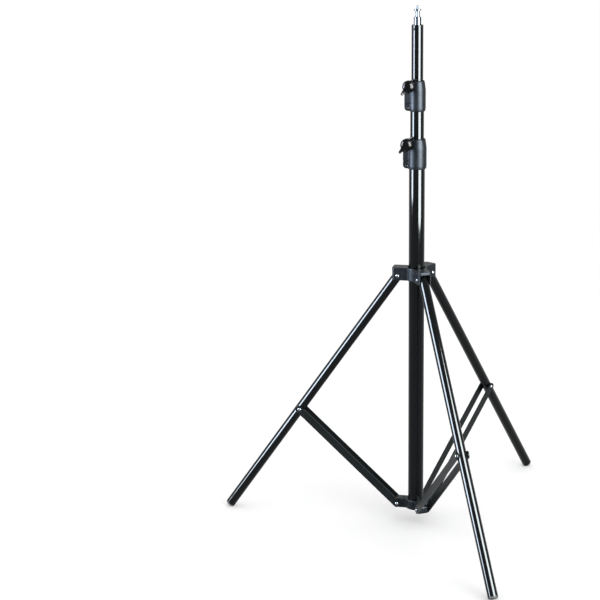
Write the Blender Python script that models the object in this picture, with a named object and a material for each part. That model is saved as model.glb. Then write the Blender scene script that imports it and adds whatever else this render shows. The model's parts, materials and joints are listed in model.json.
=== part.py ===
# Three-section telescopic lighting stand: column on a folding tripod base.
#
# The column tube stands in a fixed lower hub. A second hub slides on the column and carries three
# tubular legs, and a pair of flat braces ties each leg to the lower hub. Two thinner tubes telescope
# out of the column, each held by a split collar that a wing knob squeezes. A 16 mm spigot with a
# 1/4 inch screw sits in the top tube.
#
# Units are metres, +Z is up and the floor is Z = 0. The origin is the middle of the stand's
# footprint, so the column stands a little off it, on the YZ plane. One leg points along -Y.

import math

import bmesh
import bpy
from mathutils import Matrix

MM = 0.001

# Clearances
SEAT_GAP = 0.3 * MM          # between pieces that touch
SIDE_GAP = 0.6 * MM          # between a leg and what it swings between
RUN_GAP = 0.3 * MM           # between a tube and what slides on it
EDGE = 1.0 * MM              # softening of turned and moulded edges
SPARE = 1.0 * MM             # how far a cutter runs past what it cuts

# Tubes
COLUMN_OD = 35.0 * MM
MIDDLE_OD = 30.0 * MM
TOP_OD = 25.4 * MM
SECTION_WALL = 1.5 * MM
COLUMN_LENGTH = 824.6 * MM
MIDDLE_STANDOUT = 126.5 * MM    # how far the middle tube stands above the column when down
TOP_STANDOUT = 155.1 * MM    # and the top tube above the middle one

# Tripod
LEG_OD = 22.0 * MM
LEG_WALL = 1.2 * MM
LEG_LENGTH = 710.0 * MM      # leg pivot to the end of the foot
LEG_ANGLE = math.radians(34.8)    # between an open leg and the column
LEG_HEADINGS = {"front": -90.0, "left": 150.0, "right": 30.0}
LEG_TOP_REACH = 7.0 * MM     # how far a leg stands past its pivot
LEG_CAP = 2.2 * MM           # visible height of a leg's top cap
FOOT_TIP = 4.0 * MM          # visible height of a foot
FOOT_ROUND = 2.5 * MM
PLUG_DEPTH = 22.0 * MM       # how deep feet and caps sit in a leg
BRACE_REACH = 402.0 * MM     # leg pivot to the brace's rivet, along the leg
UPPER_PIVOT_RADIUS = 40.7 * MM
LOWER_PIVOT_RADIUS = 42.0 * MM
LOWER_PIVOT_HEIGHT = 41.6 * MM
BRACE_WIDTH = 17.0 * MM
BRACE_THICKNESS = 3.0 * MM
BRACE_EDGE = 0.4 * MM

# Rivets
RIVET_RADIUS = 3.0 * MM
RIVET_HEAD_RADIUS = 4.2 * MM
RIVET_HEAD_HEIGHT = 2.0 * MM
RIVET_DOME = ((1.0, 0.35), (0.7, 0.8))    # shares of the head's radius and height

# Upper hub, heights from the leg pivots
UPPER_HUB_TOP = 18.7 * MM
UPPER_HUB_PLATE = 7.0 * MM
UPPER_HUB_DROP = 10.4 * MM
UPPER_HUB_REACH = 53.5 * MM  # axis to the end of an ear
EAR_THICKNESS = 3.5 * MM
ARM_ROUND = 5.8 * MM
HUB_BARREL_WALL = 3.7 * MM
HUB_BUSH_WALL = 2.0 * MM
HUB_BUSH_RECESS = 3.5 * MM
HUB_LIP = 2.0 * MM

# Lower hub, heights from the brace pivots
LOWER_HUB_TOP = 12.4 * MM
LOWER_HUB_DROP = 9.5 * MM
LOWER_HUB_REACH = 50.0 * MM
LOWER_HUB_WALL = 5.5 * MM
LOWER_HUB_FLOOR = 2.8 * MM
LUG_POCKET_DEPTH = 1.6 * MM
LUG_POCKET_LENGTH = 6.0 * MM
LUG_POCKET_MARGIN = 4.0 * MM
LUG_END_ROUND = 7.7 * MM
GRUB_RADIUS = 2.0 * MM
GRUB_SINK = 0.5 * MM         # below the hub's surface
PEG_RADIUS = 1.6 * MM        # small peg on top of the left lug
PEG_HEIGHT = 2.2 * MM
PEG_REACH = 27.5 * MM        # from the column's axis

# Inside the tubes
END_PLUG_HEIGHT = 20.0 * MM
BUFFER_HEIGHT = 5.0 * MM
BUFFER_INSET = 2.7 * MM
GLIDE_FLANGE = 8.0 * MM
GLIDE_SPIGOT = 20.0 * MM

# Collars
COLLAR_WALL = 3.3 * MM       # around the outer tube
COLLAR_LIP = 4.5 * MM        # height of the top lip that keeps the bush in
LIP_WALL = 1.5 * MM
NECK_WALL = 1.9 * MM         # around the bush, under the lip
SKIRT_EDGE = 1.5 * MM        # chamfer at the collar's bottom
SKIRT_TAPER = 0.6 * MM
SKIRT_HEIGHT = 6.0 * MM
COLLAR_SEAT = 30.0 * MM      # how deep the outer tube sits in its collar
COLLAR_HEIGHT = 66.5 * MM
COLLAR_SHOULDER = 46.0 * MM   # where its barrel starts to narrow
LOWER_COLLAR_HEADING = 156.0
UPPER_COLLAR_HEADING = 160.0
LUG_HALF_WIDTH = 10.0 * MM
LUG_ROUND = 8.0 * MM
LUG_EDGE = 1.4 * MM
LUG_MARGIN = 1.5 * MM        # from the collar's ends to its lug
LUG_WALL = 5.2 * MM          # past the knob screw's hole
LUG_ROOT = 1.0 * MM          # between the outer tube and the knob screw
SLIT_WIDTH = 2.4 * MM
SLOT_HEIGHT = 16.5 * MM      # bottom lobe of the lug, up to the cross slot
SLOT_WIDTH = 1.6 * MM
SLOT_START = 0.8             # share of the collar's radius
BOLT_RADIUS = 2.0 * MM
BOLT_HEIGHT = 7.0 * MM       # above the collar's bottom
BOLT_HEAD_RADIUS = 3.2 * MM
BOLT_HEAD_HEIGHT = 1.8 * MM
BOLT_NUT_FLATS = 7.0 * MM
BOLT_NUT_HEIGHT = 3.0 * MM
BOLT_TAIL = 1.0 * MM         # how far the bolt stands past its nut
BOSS_RADIUS = 6.9 * MM
BOSS_HEIGHT = 1.6 * MM

# Wing knobs
KNOB_HEIGHT = 56.0 * MM      # screw axis above the collar's bottom
KNOB_NECK_RADIUS = 5.6 * MM
KNOB_RADIUS = 13.5 * MM
KNOB_NECK = 7.5 * MM
KNOB_DEPTH = 20.0 * MM
KNOB_DOME = ((1.0, 0.7), (0.86, 0.86), (0.5, 0.97))    # shares of the radius and depth
WING_SPAN = 47.0 * MM
WING_ROOT = 11.0 * MM
WING_TIP = 5.0 * MM
WING_DEPTH = 7.0 * MM
WING_WAIST = 0.45            # share of the blade that keeps the root's width
WING_TIP_TURN = 75.0
WING_EDGE = 0.9 * MM
WING_SWEEP = 5.0 * MM        # how far the tips lean out
WING_TURN = 48.0             # degrees from the cross direction
SCREW_RADIUS = 3.0 * MM
SCREW_CHAMFER = 0.6 * MM
SCREW_SEAT = 12.0 * MM       # how deep the screw sits in its knob
SCREW_NUT_FLATS = 10.0 * MM
SCREW_NUT_HEIGHT = 5.0 * MM
NUT_POCKET = 3.0 * MM
SCREW_TAIL = 2.0 * MM        # how far the screw stands past its nut

# Spigot
SPIGOT_RADIUS = 8.0 * MM
SPIGOT_SEAT = 30.0 * MM
SPIGOT_BODY = 16.5 * MM
SPIGOT_NECK_RADIUS = 4.8 * MM
SPIGOT_NECK = 12.0 * MM
SPIGOT_LIP = 2.2 * MM
SPIGOT_CHAMFER = 1.0 * MM
SLEEVE_SINK = 0.5 * MM       # below the end of the tube
STUD_RADIUS = 3.1 * MM
STUD_LENGTH = 8.0 * MM
STUD_CHAMFER = 0.8 * MM
PIN_RADIUS = 2.0 * MM
PIN_DEPTH = 8.0 * MM         # below the top of the tube
PIN_HEADING = -147.0
PIN_HEAD_RADIUS = 2.9 * MM
PIN_HEAD_HEIGHT = 1.0 * MM
PIN_HEAD_FLAT = 0.7          # share of the head's radius

# Facets
TUBE_SIDES = 24
KNOB_SIDES = 16
SMALL_SIDES = 12
ARC_STEPS = 3
FOOT_STEPS = 2
BRACE_END_STEPS = 6
SHARP_TURN = math.radians(35)
EMPTY_SIZE = 20.0 * MM
HALF_FACET = 180.0 / TUBE_SIDES    # keeps a bore's facets off the outer wall's

# Sizes that follow from the ones above
COLUMN_R = COLUMN_OD / 2
MIDDLE_R = MIDDLE_OD / 2
TOP_R = TOP_OD / 2
LEG_R = LEG_OD / 2
COLUMN_BORE = COLUMN_R - SECTION_WALL
MIDDLE_BORE = MIDDLE_R - SECTION_WALL
TOP_BORE = TOP_R - SECTION_WALL
LEG_BORE = LEG_R - LEG_WALL

FOOT_HEIGHT = ((LEG_R - FOOT_ROUND) * math.sin(LEG_ANGLE)
               + FOOT_ROUND * (1.0 - math.cos(LEG_ANGLE)))
UPPER_PIVOT_HEIGHT = FOOT_HEIGHT + LEG_LENGTH * math.cos(LEG_ANGLE)
JOINT_RADIUS = UPPER_PIVOT_RADIUS + BRACE_REACH * math.sin(LEG_ANGLE)
JOINT_HEIGHT = UPPER_PIVOT_HEIGHT - BRACE_REACH * math.cos(LEG_ANGLE)
BRACE_RISE = JOINT_HEIGHT - LOWER_PIVOT_HEIGHT
BRACE_RUN = JOINT_RADIUS - LOWER_PIVOT_RADIUS
BRACE_LENGTH = math.hypot(BRACE_RISE, BRACE_RUN)
BRACE_ANGLE = math.atan2(BRACE_RUN, BRACE_RISE)

EAR_INNER = LEG_R + SIDE_GAP
EAR_OUTER = EAR_INNER + EAR_THICKNESS
HUB_BORE = COLUMN_R + RUN_GAP + HUB_BUSH_WALL
HUB_BARREL = HUB_BORE + HUB_BARREL_WALL
LUG_HALF = LEG_R + SEAT_GAP
BRACE_INNER = LEG_R + SIDE_GAP
BRACE_OUTER = BRACE_INNER + BRACE_THICKNESS
SOCKET_BORE = COLUMN_R + SEAT_GAP
SOCKET_OUTER = SOCKET_BORE + LOWER_HUB_WALL

COLUMN_BOTTOM = LOWER_PIVOT_HEIGHT - LOWER_HUB_DROP + LOWER_HUB_FLOOR + SEAT_GAP
COLUMN_TOP = COLUMN_BOTTOM + COLUMN_LENGTH
PLUG_TOP = COLUMN_BOTTOM + END_PLUG_HEIGHT
MIDDLE_GLIDE_BOTTOM = PLUG_TOP + BUFFER_HEIGHT + 2 * SEAT_GAP
MIDDLE_BOTTOM = MIDDLE_GLIDE_BOTTOM + GLIDE_FLANGE + SEAT_GAP
MIDDLE_TOP = COLUMN_TOP + MIDDLE_STANDOUT
TOP_GLIDE_BOTTOM = MIDDLE_BOTTOM + GLIDE_SPIGOT + BUFFER_HEIGHT + 2 * SEAT_GAP
TOP_BOTTOM = TOP_GLIDE_BOTTOM + GLIDE_FLANGE + SEAT_GAP
TOP_END = MIDDLE_TOP + TOP_STANDOUT


def leg_end_extent(direction_share):
    """Reach of an open leg's rounded end along a level direction.

    direction_share is the cosine between that direction and the leg's heading.
    """
    end_radius = UPPER_PIVOT_RADIUS + LEG_LENGTH * math.sin(LEG_ANGLE)
    ring_centre = (end_radius - FOOT_ROUND * math.sin(LEG_ANGLE)) * direction_share
    tilt = math.sin(LEG_ANGLE) * direction_share
    return ring_centre + (LEG_R - FOOT_ROUND) * math.sqrt(1.0 - tilt * tilt) + FOOT_ROUND


# The column's distance from the middle of the footprint: one leg in front, two half as far behind.
COLUMN_Y = (leg_end_extent(1.0) - leg_end_extent(0.5)) / 2


def clear_scene():
    for item in list(bpy.data.objects):
        bpy.data.objects.remove(item, do_unlink=True)


def finish(name, colour, roughness, metallic):
    """A plain surface with the piece's colour."""
    material = bpy.data.materials.new(name)
    material.use_nodes = True
    shader = material.node_tree.nodes["Principled BSDF"]
    shader.inputs["Base Color"].default_value = (*colour, 1.0)
    shader.inputs["Roughness"].default_value = roughness
    shader.inputs["Metallic"].default_value = metallic
    return material


FINISHES = {
    "tube": ((0.006, 0.007, 0.009), 0.16, 0.0),
    "moulding": ((0.028, 0.035, 0.041), 0.42, 0.0),
    "brace": ((0.012, 0.014, 0.016), 0.34, 0.3),
    "knob": ((0.008, 0.009, 0.011), 0.2, 0.0),
    "rubber": ((0.012, 0.012, 0.012), 0.8, 0.0),
    "nylon": ((0.02, 0.02, 0.022), 0.5, 0.0),
    "zinc": ((0.72, 0.74, 0.76), 0.3, 1.0),
    "chrome": ((0.82, 0.84, 0.86), 0.08, 1.0),
}


def node(name, mesh, kind, parent, matrix=None):
    """A named piece with its own material, placed under its parent."""
    piece = bpy.data.objects.new(name, mesh)
    bpy.context.collection.objects.link(piece)
    colour, roughness, metallic = FINISHES[kind]
    mesh.materials.clear()
    mesh.materials.append(finish(name + "_" + kind, colour, roughness, metallic))
    mesh.shade_smooth()
    mesh.set_sharp_from_angle(angle=SHARP_TURN)
    piece.parent = parent
    if matrix is not None:
        piece.matrix_local = matrix
    return piece


def pivot(name, parent, location=(0, 0, 0), heading=0.0):
    """An empty on a joint's axis."""
    empty = bpy.data.objects.new(name, None)
    empty.empty_display_size = EMPTY_SIZE
    bpy.context.collection.objects.link(empty)
    empty.parent = parent
    empty.location = location
    empty.rotation_euler = (0, 0, math.radians(heading))
    return empty


def mesh_from(bm, name):
    bmesh.ops.remove_doubles(bm, verts=bm.verts, dist=1e-6)
    bmesh.ops.recalc_face_normals(bm, faces=bm.faces)
    mesh = bpy.data.meshes.new(name)
    bm.to_mesh(mesh)
    bm.free()
    return mesh


def turned(profile, sides=TUBE_SIDES, closed=True):
    """A solid turned about Z from (radius, height) points.

    A closed profile makes a ring. An open one starts and ends on the axis.
    """
    bm = bmesh.new()
    points = [bm.verts.new((radius, 0, height)) for radius, height in profile]
    edges = [bm.edges.new(pair) for pair in zip(points, points[1:])]
    if closed:
        edges.append(bm.edges.new((points[-1], points[0])))
    bmesh.ops.spin(bm, geom=points + edges, cent=(0, 0, 0), axis=(0, 0, 1),
                   angle=math.tau, steps=sides, use_merge=True)
    return mesh_from(bm, "turned")


def tube(radius, bore, low, high, sides=TUBE_SIDES):
    return turned([(bore, low), (radius, low), (radius, high), (bore, high)], sides)


def rod(radius, low, high, sides=SMALL_SIDES):
    return turned([(0, low), (radius, low), (radius, high), (0, high)], sides, closed=False)


def arc(centre, radius, start, end, steps=ARC_STEPS):
    """Points of an arc, in degrees."""
    turns = [math.radians(start + (end - start) * step / steps) for step in range(steps + 1)]
    return [(centre[0] + radius * math.cos(turn), centre[1] + radius * math.sin(turn))
            for turn in turns]


def rounded_box(low, high, radius):
    """Outline of a rectangle with round corners."""
    (x0, y0), (x1, y1) = low, high
    return (arc((x1 - radius, y0 + radius), radius, -90, 0)
            + arc((x1 - radius, y1 - radius), radius, 0, 90)
            + arc((x0 + radius, y1 - radius), radius, 90, 180)
            + arc((x0 + radius, y0 + radius), radius, 180, 270))


def prism(outline, low, high, edge=0.0):
    """An outline in XY raised along Z, with its end edges softened by edge."""
    bm = bmesh.new()
    base = bm.faces.new([bm.verts.new((x, y, low)) for x, y in outline])
    raised = bmesh.ops.extrude_face_region(bm, geom=[base])
    tops = [item for item in raised["geom"] if isinstance(item, bmesh.types.BMVert)]
    bmesh.ops.translate(bm, verts=tops, vec=(0, 0, high - low))
    bmesh.ops.recalc_face_normals(bm, faces=bm.faces)
    if edge:
        rims = [item for item in bm.edges
                if abs(item.verts[0].co.z - item.verts[1].co.z) < 1e-7]
        bmesh.ops.bevel(bm, geom=rims, offset=edge, segments=1, affect="EDGES",
                        offset_type="OFFSET", clamp_overlap=True)
    return mesh_from(bm, "prism")


def box(low, high):
    outline = [(low[0], low[1]), (high[0], low[1]), (high[0], high[1]), (low[0], high[1])]
    return prism(outline, low[2], high[2])


def moved(mesh, matrix):
    mesh.transform(matrix)
    return mesh


def combined(mesh, tool, operation):
    """The mesh joined with the tool, or cut by it."""
    base = bpy.data.objects.new("base", mesh)
    other = bpy.data.objects.new("tool", tool)
    for item in (base, other):
        bpy.context.collection.objects.link(item)
    step = base.modifiers.new("combine", "BOOLEAN")
    step.operation = operation
    step.solver = "EXACT"
    step.object = other
    shaped = base.evaluated_get(bpy.context.evaluated_depsgraph_get())
    result = bpy.data.meshes.new_from_object(shaped)
    for item in (base, other):
        bpy.data.objects.remove(item, do_unlink=True)
    return result


def joined(mesh, *tools):
    for tool in tools:
        mesh = combined(mesh, tool, "UNION")
    return mesh


def cut(mesh, *tools):
    for tool in tools:
        mesh = combined(mesh, tool, "DIFFERENCE")
    return mesh


def turn_z(heading):
    return Matrix.Rotation(math.radians(heading), 4, "Z")


ALONG_X = Matrix.Rotation(math.radians(90), 4, "Y")
ALONG_Y = Matrix.Rotation(math.radians(-90), 4, "X")


def cross_hole(radius, x, z, half_length):
    """A round cutter along Y through (x, z)."""
    hole = moved(rod(radius, -half_length, half_length), ALONG_Y)
    return moved(hole, Matrix.Translation((x, 0, z)))


def hexagon(flats):
    radius = flats / math.sqrt(3)
    return [(radius * math.cos(math.radians(60 * side)), radius * math.sin(math.radians(60 * side)))
            for side in range(6)]


def nut(flats, bore, low, high):
    return cut(prism(hexagon(flats), low, high), rod(bore, low - SPARE, high + SPARE))


def dome(radius, low, height, shank, shank_end):
    """Half a rivet: a domed head above low, on a shank that runs to shank_end."""
    shape = [(0, shank_end), (shank, shank_end), (shank, low), (radius, low)]
    shape += [(radius * across, low + height * up) for across, up in RIVET_DOME]
    return turned(shape + [(0, low + height)], SMALL_SIDES, closed=False)


def rivet(half_length):
    """A through rivet along Y with a domed head at both ends."""
    upper = [(RIVET_RADIUS, half_length), (RIVET_HEAD_RADIUS, half_length)]
    upper += [(RIVET_HEAD_RADIUS * across, half_length + RIVET_HEAD_HEIGHT * up)
              for across, up in RIVET_DOME]
    upper.append((0, half_length + RIVET_HEAD_HEIGHT))
    lower = [(radius, -height) for radius, height in reversed(upper)]
    return moved(turned(lower + upper, SMALL_SIDES, closed=False), ALONG_Y)


# ---- Column and what is fixed to it

def column_tube():
    return tube(COLUMN_R, COLUMN_BORE, COLUMN_BOTTOM, COLUMN_TOP)


def end_plug():
    radius = COLUMN_BORE - SEAT_GAP
    return turned([(0, COLUMN_BOTTOM), (radius, COLUMN_BOTTOM), (radius, PLUG_TOP - EDGE),
                   (radius - EDGE, PLUG_TOP), (0, PLUG_TOP)], closed=False)


def buffer(bore, low):
    return rod(bore - BUFFER_INSET, low, low + BUFFER_HEIGHT)


def glide(outer_bore, inner_bore, low):
    """Nylon end of a sliding tube: its flange rides in the outer tube, its spigot fills the inner."""
    flange = outer_bore - RUN_GAP
    stem = inner_bore - SEAT_GAP
    flange_top = low + GLIDE_FLANGE
    stem_top = flange_top + SEAT_GAP + GLIDE_SPIGOT
    return turned([(0, low), (flange - EDGE, low), (flange, low + EDGE), (flange, flange_top),
                   (stem, flange_top), (stem, stem_top), (0, stem_top)], closed=False)


def lower_hub():
    """Spider at the column's foot: a socket with three lugs between the braces."""
    low = LOWER_PIVOT_HEIGHT - LOWER_HUB_DROP
    high = LOWER_PIVOT_HEIGHT + LOWER_HUB_TOP
    body = turned([(0, low), (SOCKET_OUTER - EDGE, low), (SOCKET_OUTER, low + EDGE),
                   (SOCKET_OUTER, high - EDGE), (SOCKET_OUTER - EDGE, high), (0, high)],
                  closed=False)
    side = rounded_box((0, low), (LOWER_HUB_REACH, high), LUG_END_ROUND)
    stand_up = Matrix.Rotation(math.radians(90), 4, "X")
    pocket_start = SOCKET_OUTER + EDGE
    pocket_end = pocket_start + LUG_POCKET_LENGTH
    for heading in LEG_HEADINGS.values():
        lug = moved(prism(side, -LUG_HALF, LUG_HALF, EDGE), stand_up)
        body = joined(body, moved(lug, turn_z(heading)))
    peg = moved(rod(PEG_RADIUS, LOWER_PIVOT_HEIGHT, high + PEG_HEIGHT),
                turn_z(LEG_HEADINGS["left"]) @ Matrix.Translation((PEG_REACH, 0, 0)))
    body = joined(body, peg)
    for heading in LEG_HEADINGS.values():
        tools = [cross_hole(RIVET_RADIUS + SEAT_GAP, LOWER_PIVOT_RADIUS, LOWER_PIVOT_HEIGHT,
                            2 * LUG_HALF)]
        for sign in (-1, 1):
            faces = sorted((sign * 2 * LUG_HALF, sign * (LUG_HALF - LUG_POCKET_DEPTH)))
            tools.append(box((pocket_start, faces[0], low + LUG_POCKET_MARGIN),
                             (pocket_end, faces[1], high - LUG_POCKET_MARGIN)))
        body = cut(body, *[moved(tool, turn_z(heading)) for tool in tools])
    socket = rod(SOCKET_BORE, low + LOWER_HUB_FLOOR, high + SPARE, TUBE_SIDES)
    grub = moved(rod(GRUB_RADIUS + SEAT_GAP, 0, 2 * SOCKET_OUTER), ALONG_Y)
    grub.transform(Matrix.Translation((0, 0, LOWER_PIVOT_HEIGHT)))
    return cut(body, socket, grub)


def grub_screw():
    """Set screw in the rear of the lower hub that grips the column."""
    screw = rod(GRUB_RADIUS, SOCKET_BORE, SOCKET_OUTER - GRUB_SINK)
    return moved(moved(screw, ALONG_Y), Matrix.Translation((0, 0, LOWER_PIVOT_HEIGHT)))


# ---- Collars, in their own frame: bottom at Z = 0, lug along +X, knob along +Y

class Collar:
    """Sizes of one collar, from the tube it sits on and the tube it clamps."""

    def __init__(self, outer, inner):
        self.outer = outer
        self.inner = inner
        self.seat_bore = outer + SEAT_GAP
        self.barrel = self.seat_bore + COLLAR_WALL
        self.bush_inner = inner + RUN_GAP
        self.bush_bore = outer - SEAT_GAP
        self.bush_outer = self.bush_bore - SEAT_GAP
        self.lip = self.bush_inner + LIP_WALL
        self.screw_x = self.seat_bore + LUG_ROOT + SCREW_RADIUS
        self.reach = self.screw_x + SCREW_RADIUS + SEAT_GAP + LUG_WALL

    def body(self):
        lip_low = COLLAR_HEIGHT - COLLAR_LIP
        sleeve = turned([(0, 0), (self.barrel - SKIRT_EDGE, 0),
                         (self.barrel - SKIRT_TAPER, SKIRT_EDGE), (self.barrel, SKIRT_HEIGHT),
                         (self.barrel, COLLAR_SHOULDER), (self.bush_bore + NECK_WALL, lip_low),
                         (self.lip + EDGE, COLLAR_HEIGHT - EDGE), (self.lip, COLLAR_HEIGHT),
                         (0, COLLAR_HEIGHT)], closed=False)
        side = rounded_box((0, LUG_MARGIN), (self.reach, COLLAR_HEIGHT - LUG_MARGIN), LUG_ROUND)
        stand_up = Matrix.Rotation(math.radians(90), 4, "X")
        lug = moved(prism(side, -LUG_HALF_WIDTH, LUG_HALF_WIDTH, LUG_EDGE), stand_up)
        shape = joined(sleeve, lug)
        boss = rod(BOSS_RADIUS, -LUG_HALF_WIDTH - BOSS_HEIGHT, LUG_HALF_WIDTH + BOSS_HEIGHT)
        place = Matrix.Translation((self.screw_x, 0, KNOB_HEIGHT))
        shape = joined(shape, moved(moved(boss, ALONG_Y), place))

        step = COLLAR_SEAT + SEAT_GAP
        top = COLLAR_HEIGHT + SPARE
        bore = turned([(0, -SPARE), (self.seat_bore, -SPARE), (self.seat_bore, step),
                       (self.bush_bore, step), (self.bush_bore, lip_low),
                       (self.bush_inner, lip_low), (self.bush_inner, top), (0, top)],
                      closed=False)
        bore.transform(turn_z(HALF_FACET))
        far = self.reach + SPARE
        slit = box((self.inner / 2, -SLIT_WIDTH / 2, -SPARE), (far, SLIT_WIDTH / 2, top))
        wide = 2 * LUG_HALF_WIDTH
        slot = box((self.barrel * SLOT_START, -wide, SLOT_HEIGHT),
                   (far, wide, SLOT_HEIGHT + SLOT_WIDTH))
        return cut(shape, bore, slit, slot,
                   cross_hole(BOLT_RADIUS + SEAT_GAP, self.screw_x, BOLT_HEIGHT, wide),
                   cross_hole(SCREW_RADIUS + SEAT_GAP, self.screw_x, KNOB_HEIGHT, wide),
                   self.nut_pocket(BOLT_NUT_FLATS, self.screw_x, BOLT_HEIGHT, LUG_HALF_WIDTH),
                   self.nut_pocket(SCREW_NUT_FLATS, self.screw_x, KNOB_HEIGHT,
                                   LUG_HALF_WIDTH + BOSS_HEIGHT))

    def nut_pocket(self, flats, x, z, face):
        """Six-sided recess that holds a nut, on the side away from the knob."""
        pocket = prism(hexagon(flats + 2 * SEAT_GAP), -face - SPARE, -face + NUT_POCKET)
        return moved(moved(pocket, ALONG_Y), Matrix.Translation((x, 0, z)))

    def bush(self):
        low = COLLAR_SEAT + 2 * SEAT_GAP
        high = COLLAR_HEIGHT - COLLAR_LIP - SEAT_GAP
        ring = tube(self.bush_outer, self.bush_inner, low, high)
        gap = box((0, -SLIT_WIDTH / 2, low - SPARE),
                  (2 * self.outer, SLIT_WIDTH / 2, high + SPARE))
        return cut(ring, gap)

    def bolt(self):
        nut_back = -LUG_HALF_WIDTH + NUT_POCKET - SEAT_GAP
        tail = nut_back - BOLT_NUT_HEIGHT - BOLT_TAIL
        shape = dome(BOLT_HEAD_RADIUS, LUG_HALF_WIDTH + SEAT_GAP, BOLT_HEAD_HEIGHT,
                     BOLT_RADIUS, tail)
        return moved(moved(shape, ALONG_Y), Matrix.Translation((self.screw_x, 0, BOLT_HEIGHT)))

    def bolt_nut(self):
        back = -LUG_HALF_WIDTH + NUT_POCKET - SEAT_GAP
        shape = nut(BOLT_NUT_FLATS, BOLT_RADIUS + SEAT_GAP, back - BOLT_NUT_HEIGHT, back)
        return moved(moved(shape, ALONG_Y), Matrix.Translation((self.screw_x, 0, BOLT_HEIGHT)))

    def screw_nut(self):
        back = -LUG_HALF_WIDTH - BOSS_HEIGHT + NUT_POCKET - SEAT_GAP
        shape = nut(SCREW_NUT_FLATS, SCREW_RADIUS + SEAT_GAP, back - SCREW_NUT_HEIGHT, back)
        return moved(moved(shape, ALONG_Y), Matrix.Translation((self.screw_x, 0, KNOB_HEIGHT)))


# ---- Wing knob, in its own frame: base at Z = 0, axis along +Z

def wing():
    """One blade of the knob along +X, thick at the root and leaning out at the tip."""
    tip = WING_SPAN / 2
    half_tip = WING_TIP / 2
    half_root = WING_ROOT / 2
    outline = [(0, -half_root), (WING_WAIST * tip, -half_root)]
    outline += arc((tip - half_tip, 0), half_tip, -WING_TIP_TURN, WING_TIP_TURN)
    outline += [(WING_WAIST * tip, half_root), (0, half_root)]
    blade = prism(outline, KNOB_NECK, KNOB_NECK + WING_DEPTH, WING_EDGE)
    for vertex in blade.vertices:
        vertex.co.z += WING_SWEEP * (max(vertex.co.x, 0) / tip) ** 2
    return blade


def knob():
    shape = [(0, 0), (KNOB_NECK_RADIUS, 0), (KNOB_NECK_RADIUS, KNOB_NECK - EDGE),
             (KNOB_RADIUS - EDGE, KNOB_NECK), (KNOB_RADIUS, KNOB_NECK + EDGE)]
    shape += [(KNOB_RADIUS * across, KNOB_DEPTH * up) for across, up in KNOB_DOME]
    core = turned(shape + [(0, KNOB_DEPTH)], KNOB_SIDES, closed=False)
    shape = joined(core, wing(), moved(wing(), turn_z(180)))
    return cut(shape, rod(SCREW_RADIUS + SEAT_GAP, -SPARE, SCREW_SEAT + SEAT_GAP))


def knob_screw():
    """Steel screw moulded into the knob, through the lug and its nut."""
    nut_outer = BOSS_HEIGHT - NUT_POCKET + SEAT_GAP + SCREW_NUT_HEIGHT
    tail = 2 * LUG_HALF_WIDTH + BOSS_HEIGHT + SEAT_GAP + nut_outer + SCREW_TAIL
    return turned([(0, -tail), (SCREW_RADIUS - SCREW_CHAMFER, -tail),
                   (SCREW_RADIUS, -tail + SCREW_CHAMFER), (SCREW_RADIUS, SCREW_SEAT),
                   (0, SCREW_SEAT)], SMALL_SIDES, closed=False)


def add_collar(prefix, collar, parent, low, heading):
    """A collar with its fixed hardware, and a knob on its own axis."""
    frame = pivot(prefix + "_collar_frame", parent, (0, 0, low), heading)
    node(prefix + "_collar", collar.body(), "moulding", frame)
    node(prefix + "_collar_bush", collar.bush(), "nylon", frame)
    node(prefix + "_collar_bolt", collar.bolt(), "zinc", frame)
    node(prefix + "_collar_nut", collar.bolt_nut(), "zinc", frame)
    node(prefix + "_knob_nut", collar.screw_nut(), "zinc", frame)
    axis = pivot(prefix + "_knob_axis", frame,
                 (collar.screw_x, LUG_HALF_WIDTH + BOSS_HEIGHT + SEAT_GAP, KNOB_HEIGHT))
    axis.matrix_local = Matrix.Translation(axis.location) @ ALONG_Y @ turn_z(WING_TURN)
    node(prefix + "_knob", knob(), "knob", axis)
    node(prefix + "_knob_screw", knob_screw(), "zinc", axis)


# ---- Top tube

def spigot():
    """Spigot with a neck that a lamp's screw bears on, and a 1/4 inch stud."""
    low = TOP_END - SPIGOT_SEAT
    body = TOP_END + SPIGOT_BODY
    neck = body + SPIGOT_CHAMFER
    lip = neck + SPIGOT_NECK
    lip_low = lip + SPIGOT_CHAMFER
    top = lip_low + SPIGOT_LIP
    stud = top + STUD_LENGTH
    neck_edge = SPIGOT_NECK_RADIUS
    return turned([(0, low), (SPIGOT_RADIUS, low), (SPIGOT_RADIUS, body), (neck_edge, neck),
                   (neck_edge, lip), (SPIGOT_RADIUS, lip_low), (SPIGOT_RADIUS, top),
                   (STUD_RADIUS, top), (STUD_RADIUS, stud - STUD_CHAMFER),
                   (STUD_RADIUS - STUD_CHAMFER, stud), (0, stud)], KNOB_SIDES, closed=False)


def spigot_sleeve():
    return tube(TOP_BORE - SEAT_GAP, SPIGOT_RADIUS + SEAT_GAP, TOP_END - SPIGOT_SEAT,
                TOP_END - SLEEVE_SINK, KNOB_SIDES)


def pin_hole():
    hole = moved(rod(PIN_RADIUS + SEAT_GAP, -2 * TOP_R, 2 * TOP_R), ALONG_X)
    return moved(hole, Matrix.Translation((0, 0, TOP_END - PIN_DEPTH)) @ turn_z(PIN_HEADING))


def spigot_pin():
    """Cross pin that keeps the spigot in the tube, with a low head at each end."""
    flat = TOP_R + SEAT_GAP
    end = flat + PIN_HEAD_HEIGHT
    upper = [(PIN_RADIUS, flat), (PIN_HEAD_RADIUS, flat),
             (PIN_HEAD_FLAT * PIN_HEAD_RADIUS, end), (0, end)]
    lower = [(radius, -height) for radius, height in reversed(upper)]
    pin = moved(turned(lower + upper, SMALL_SIDES, closed=False), ALONG_X)
    return moved(pin, Matrix.Translation((0, 0, TOP_END - PIN_DEPTH)) @ turn_z(PIN_HEADING))


# ---- Upper hub, with the leg pivots at Z = 0

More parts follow.
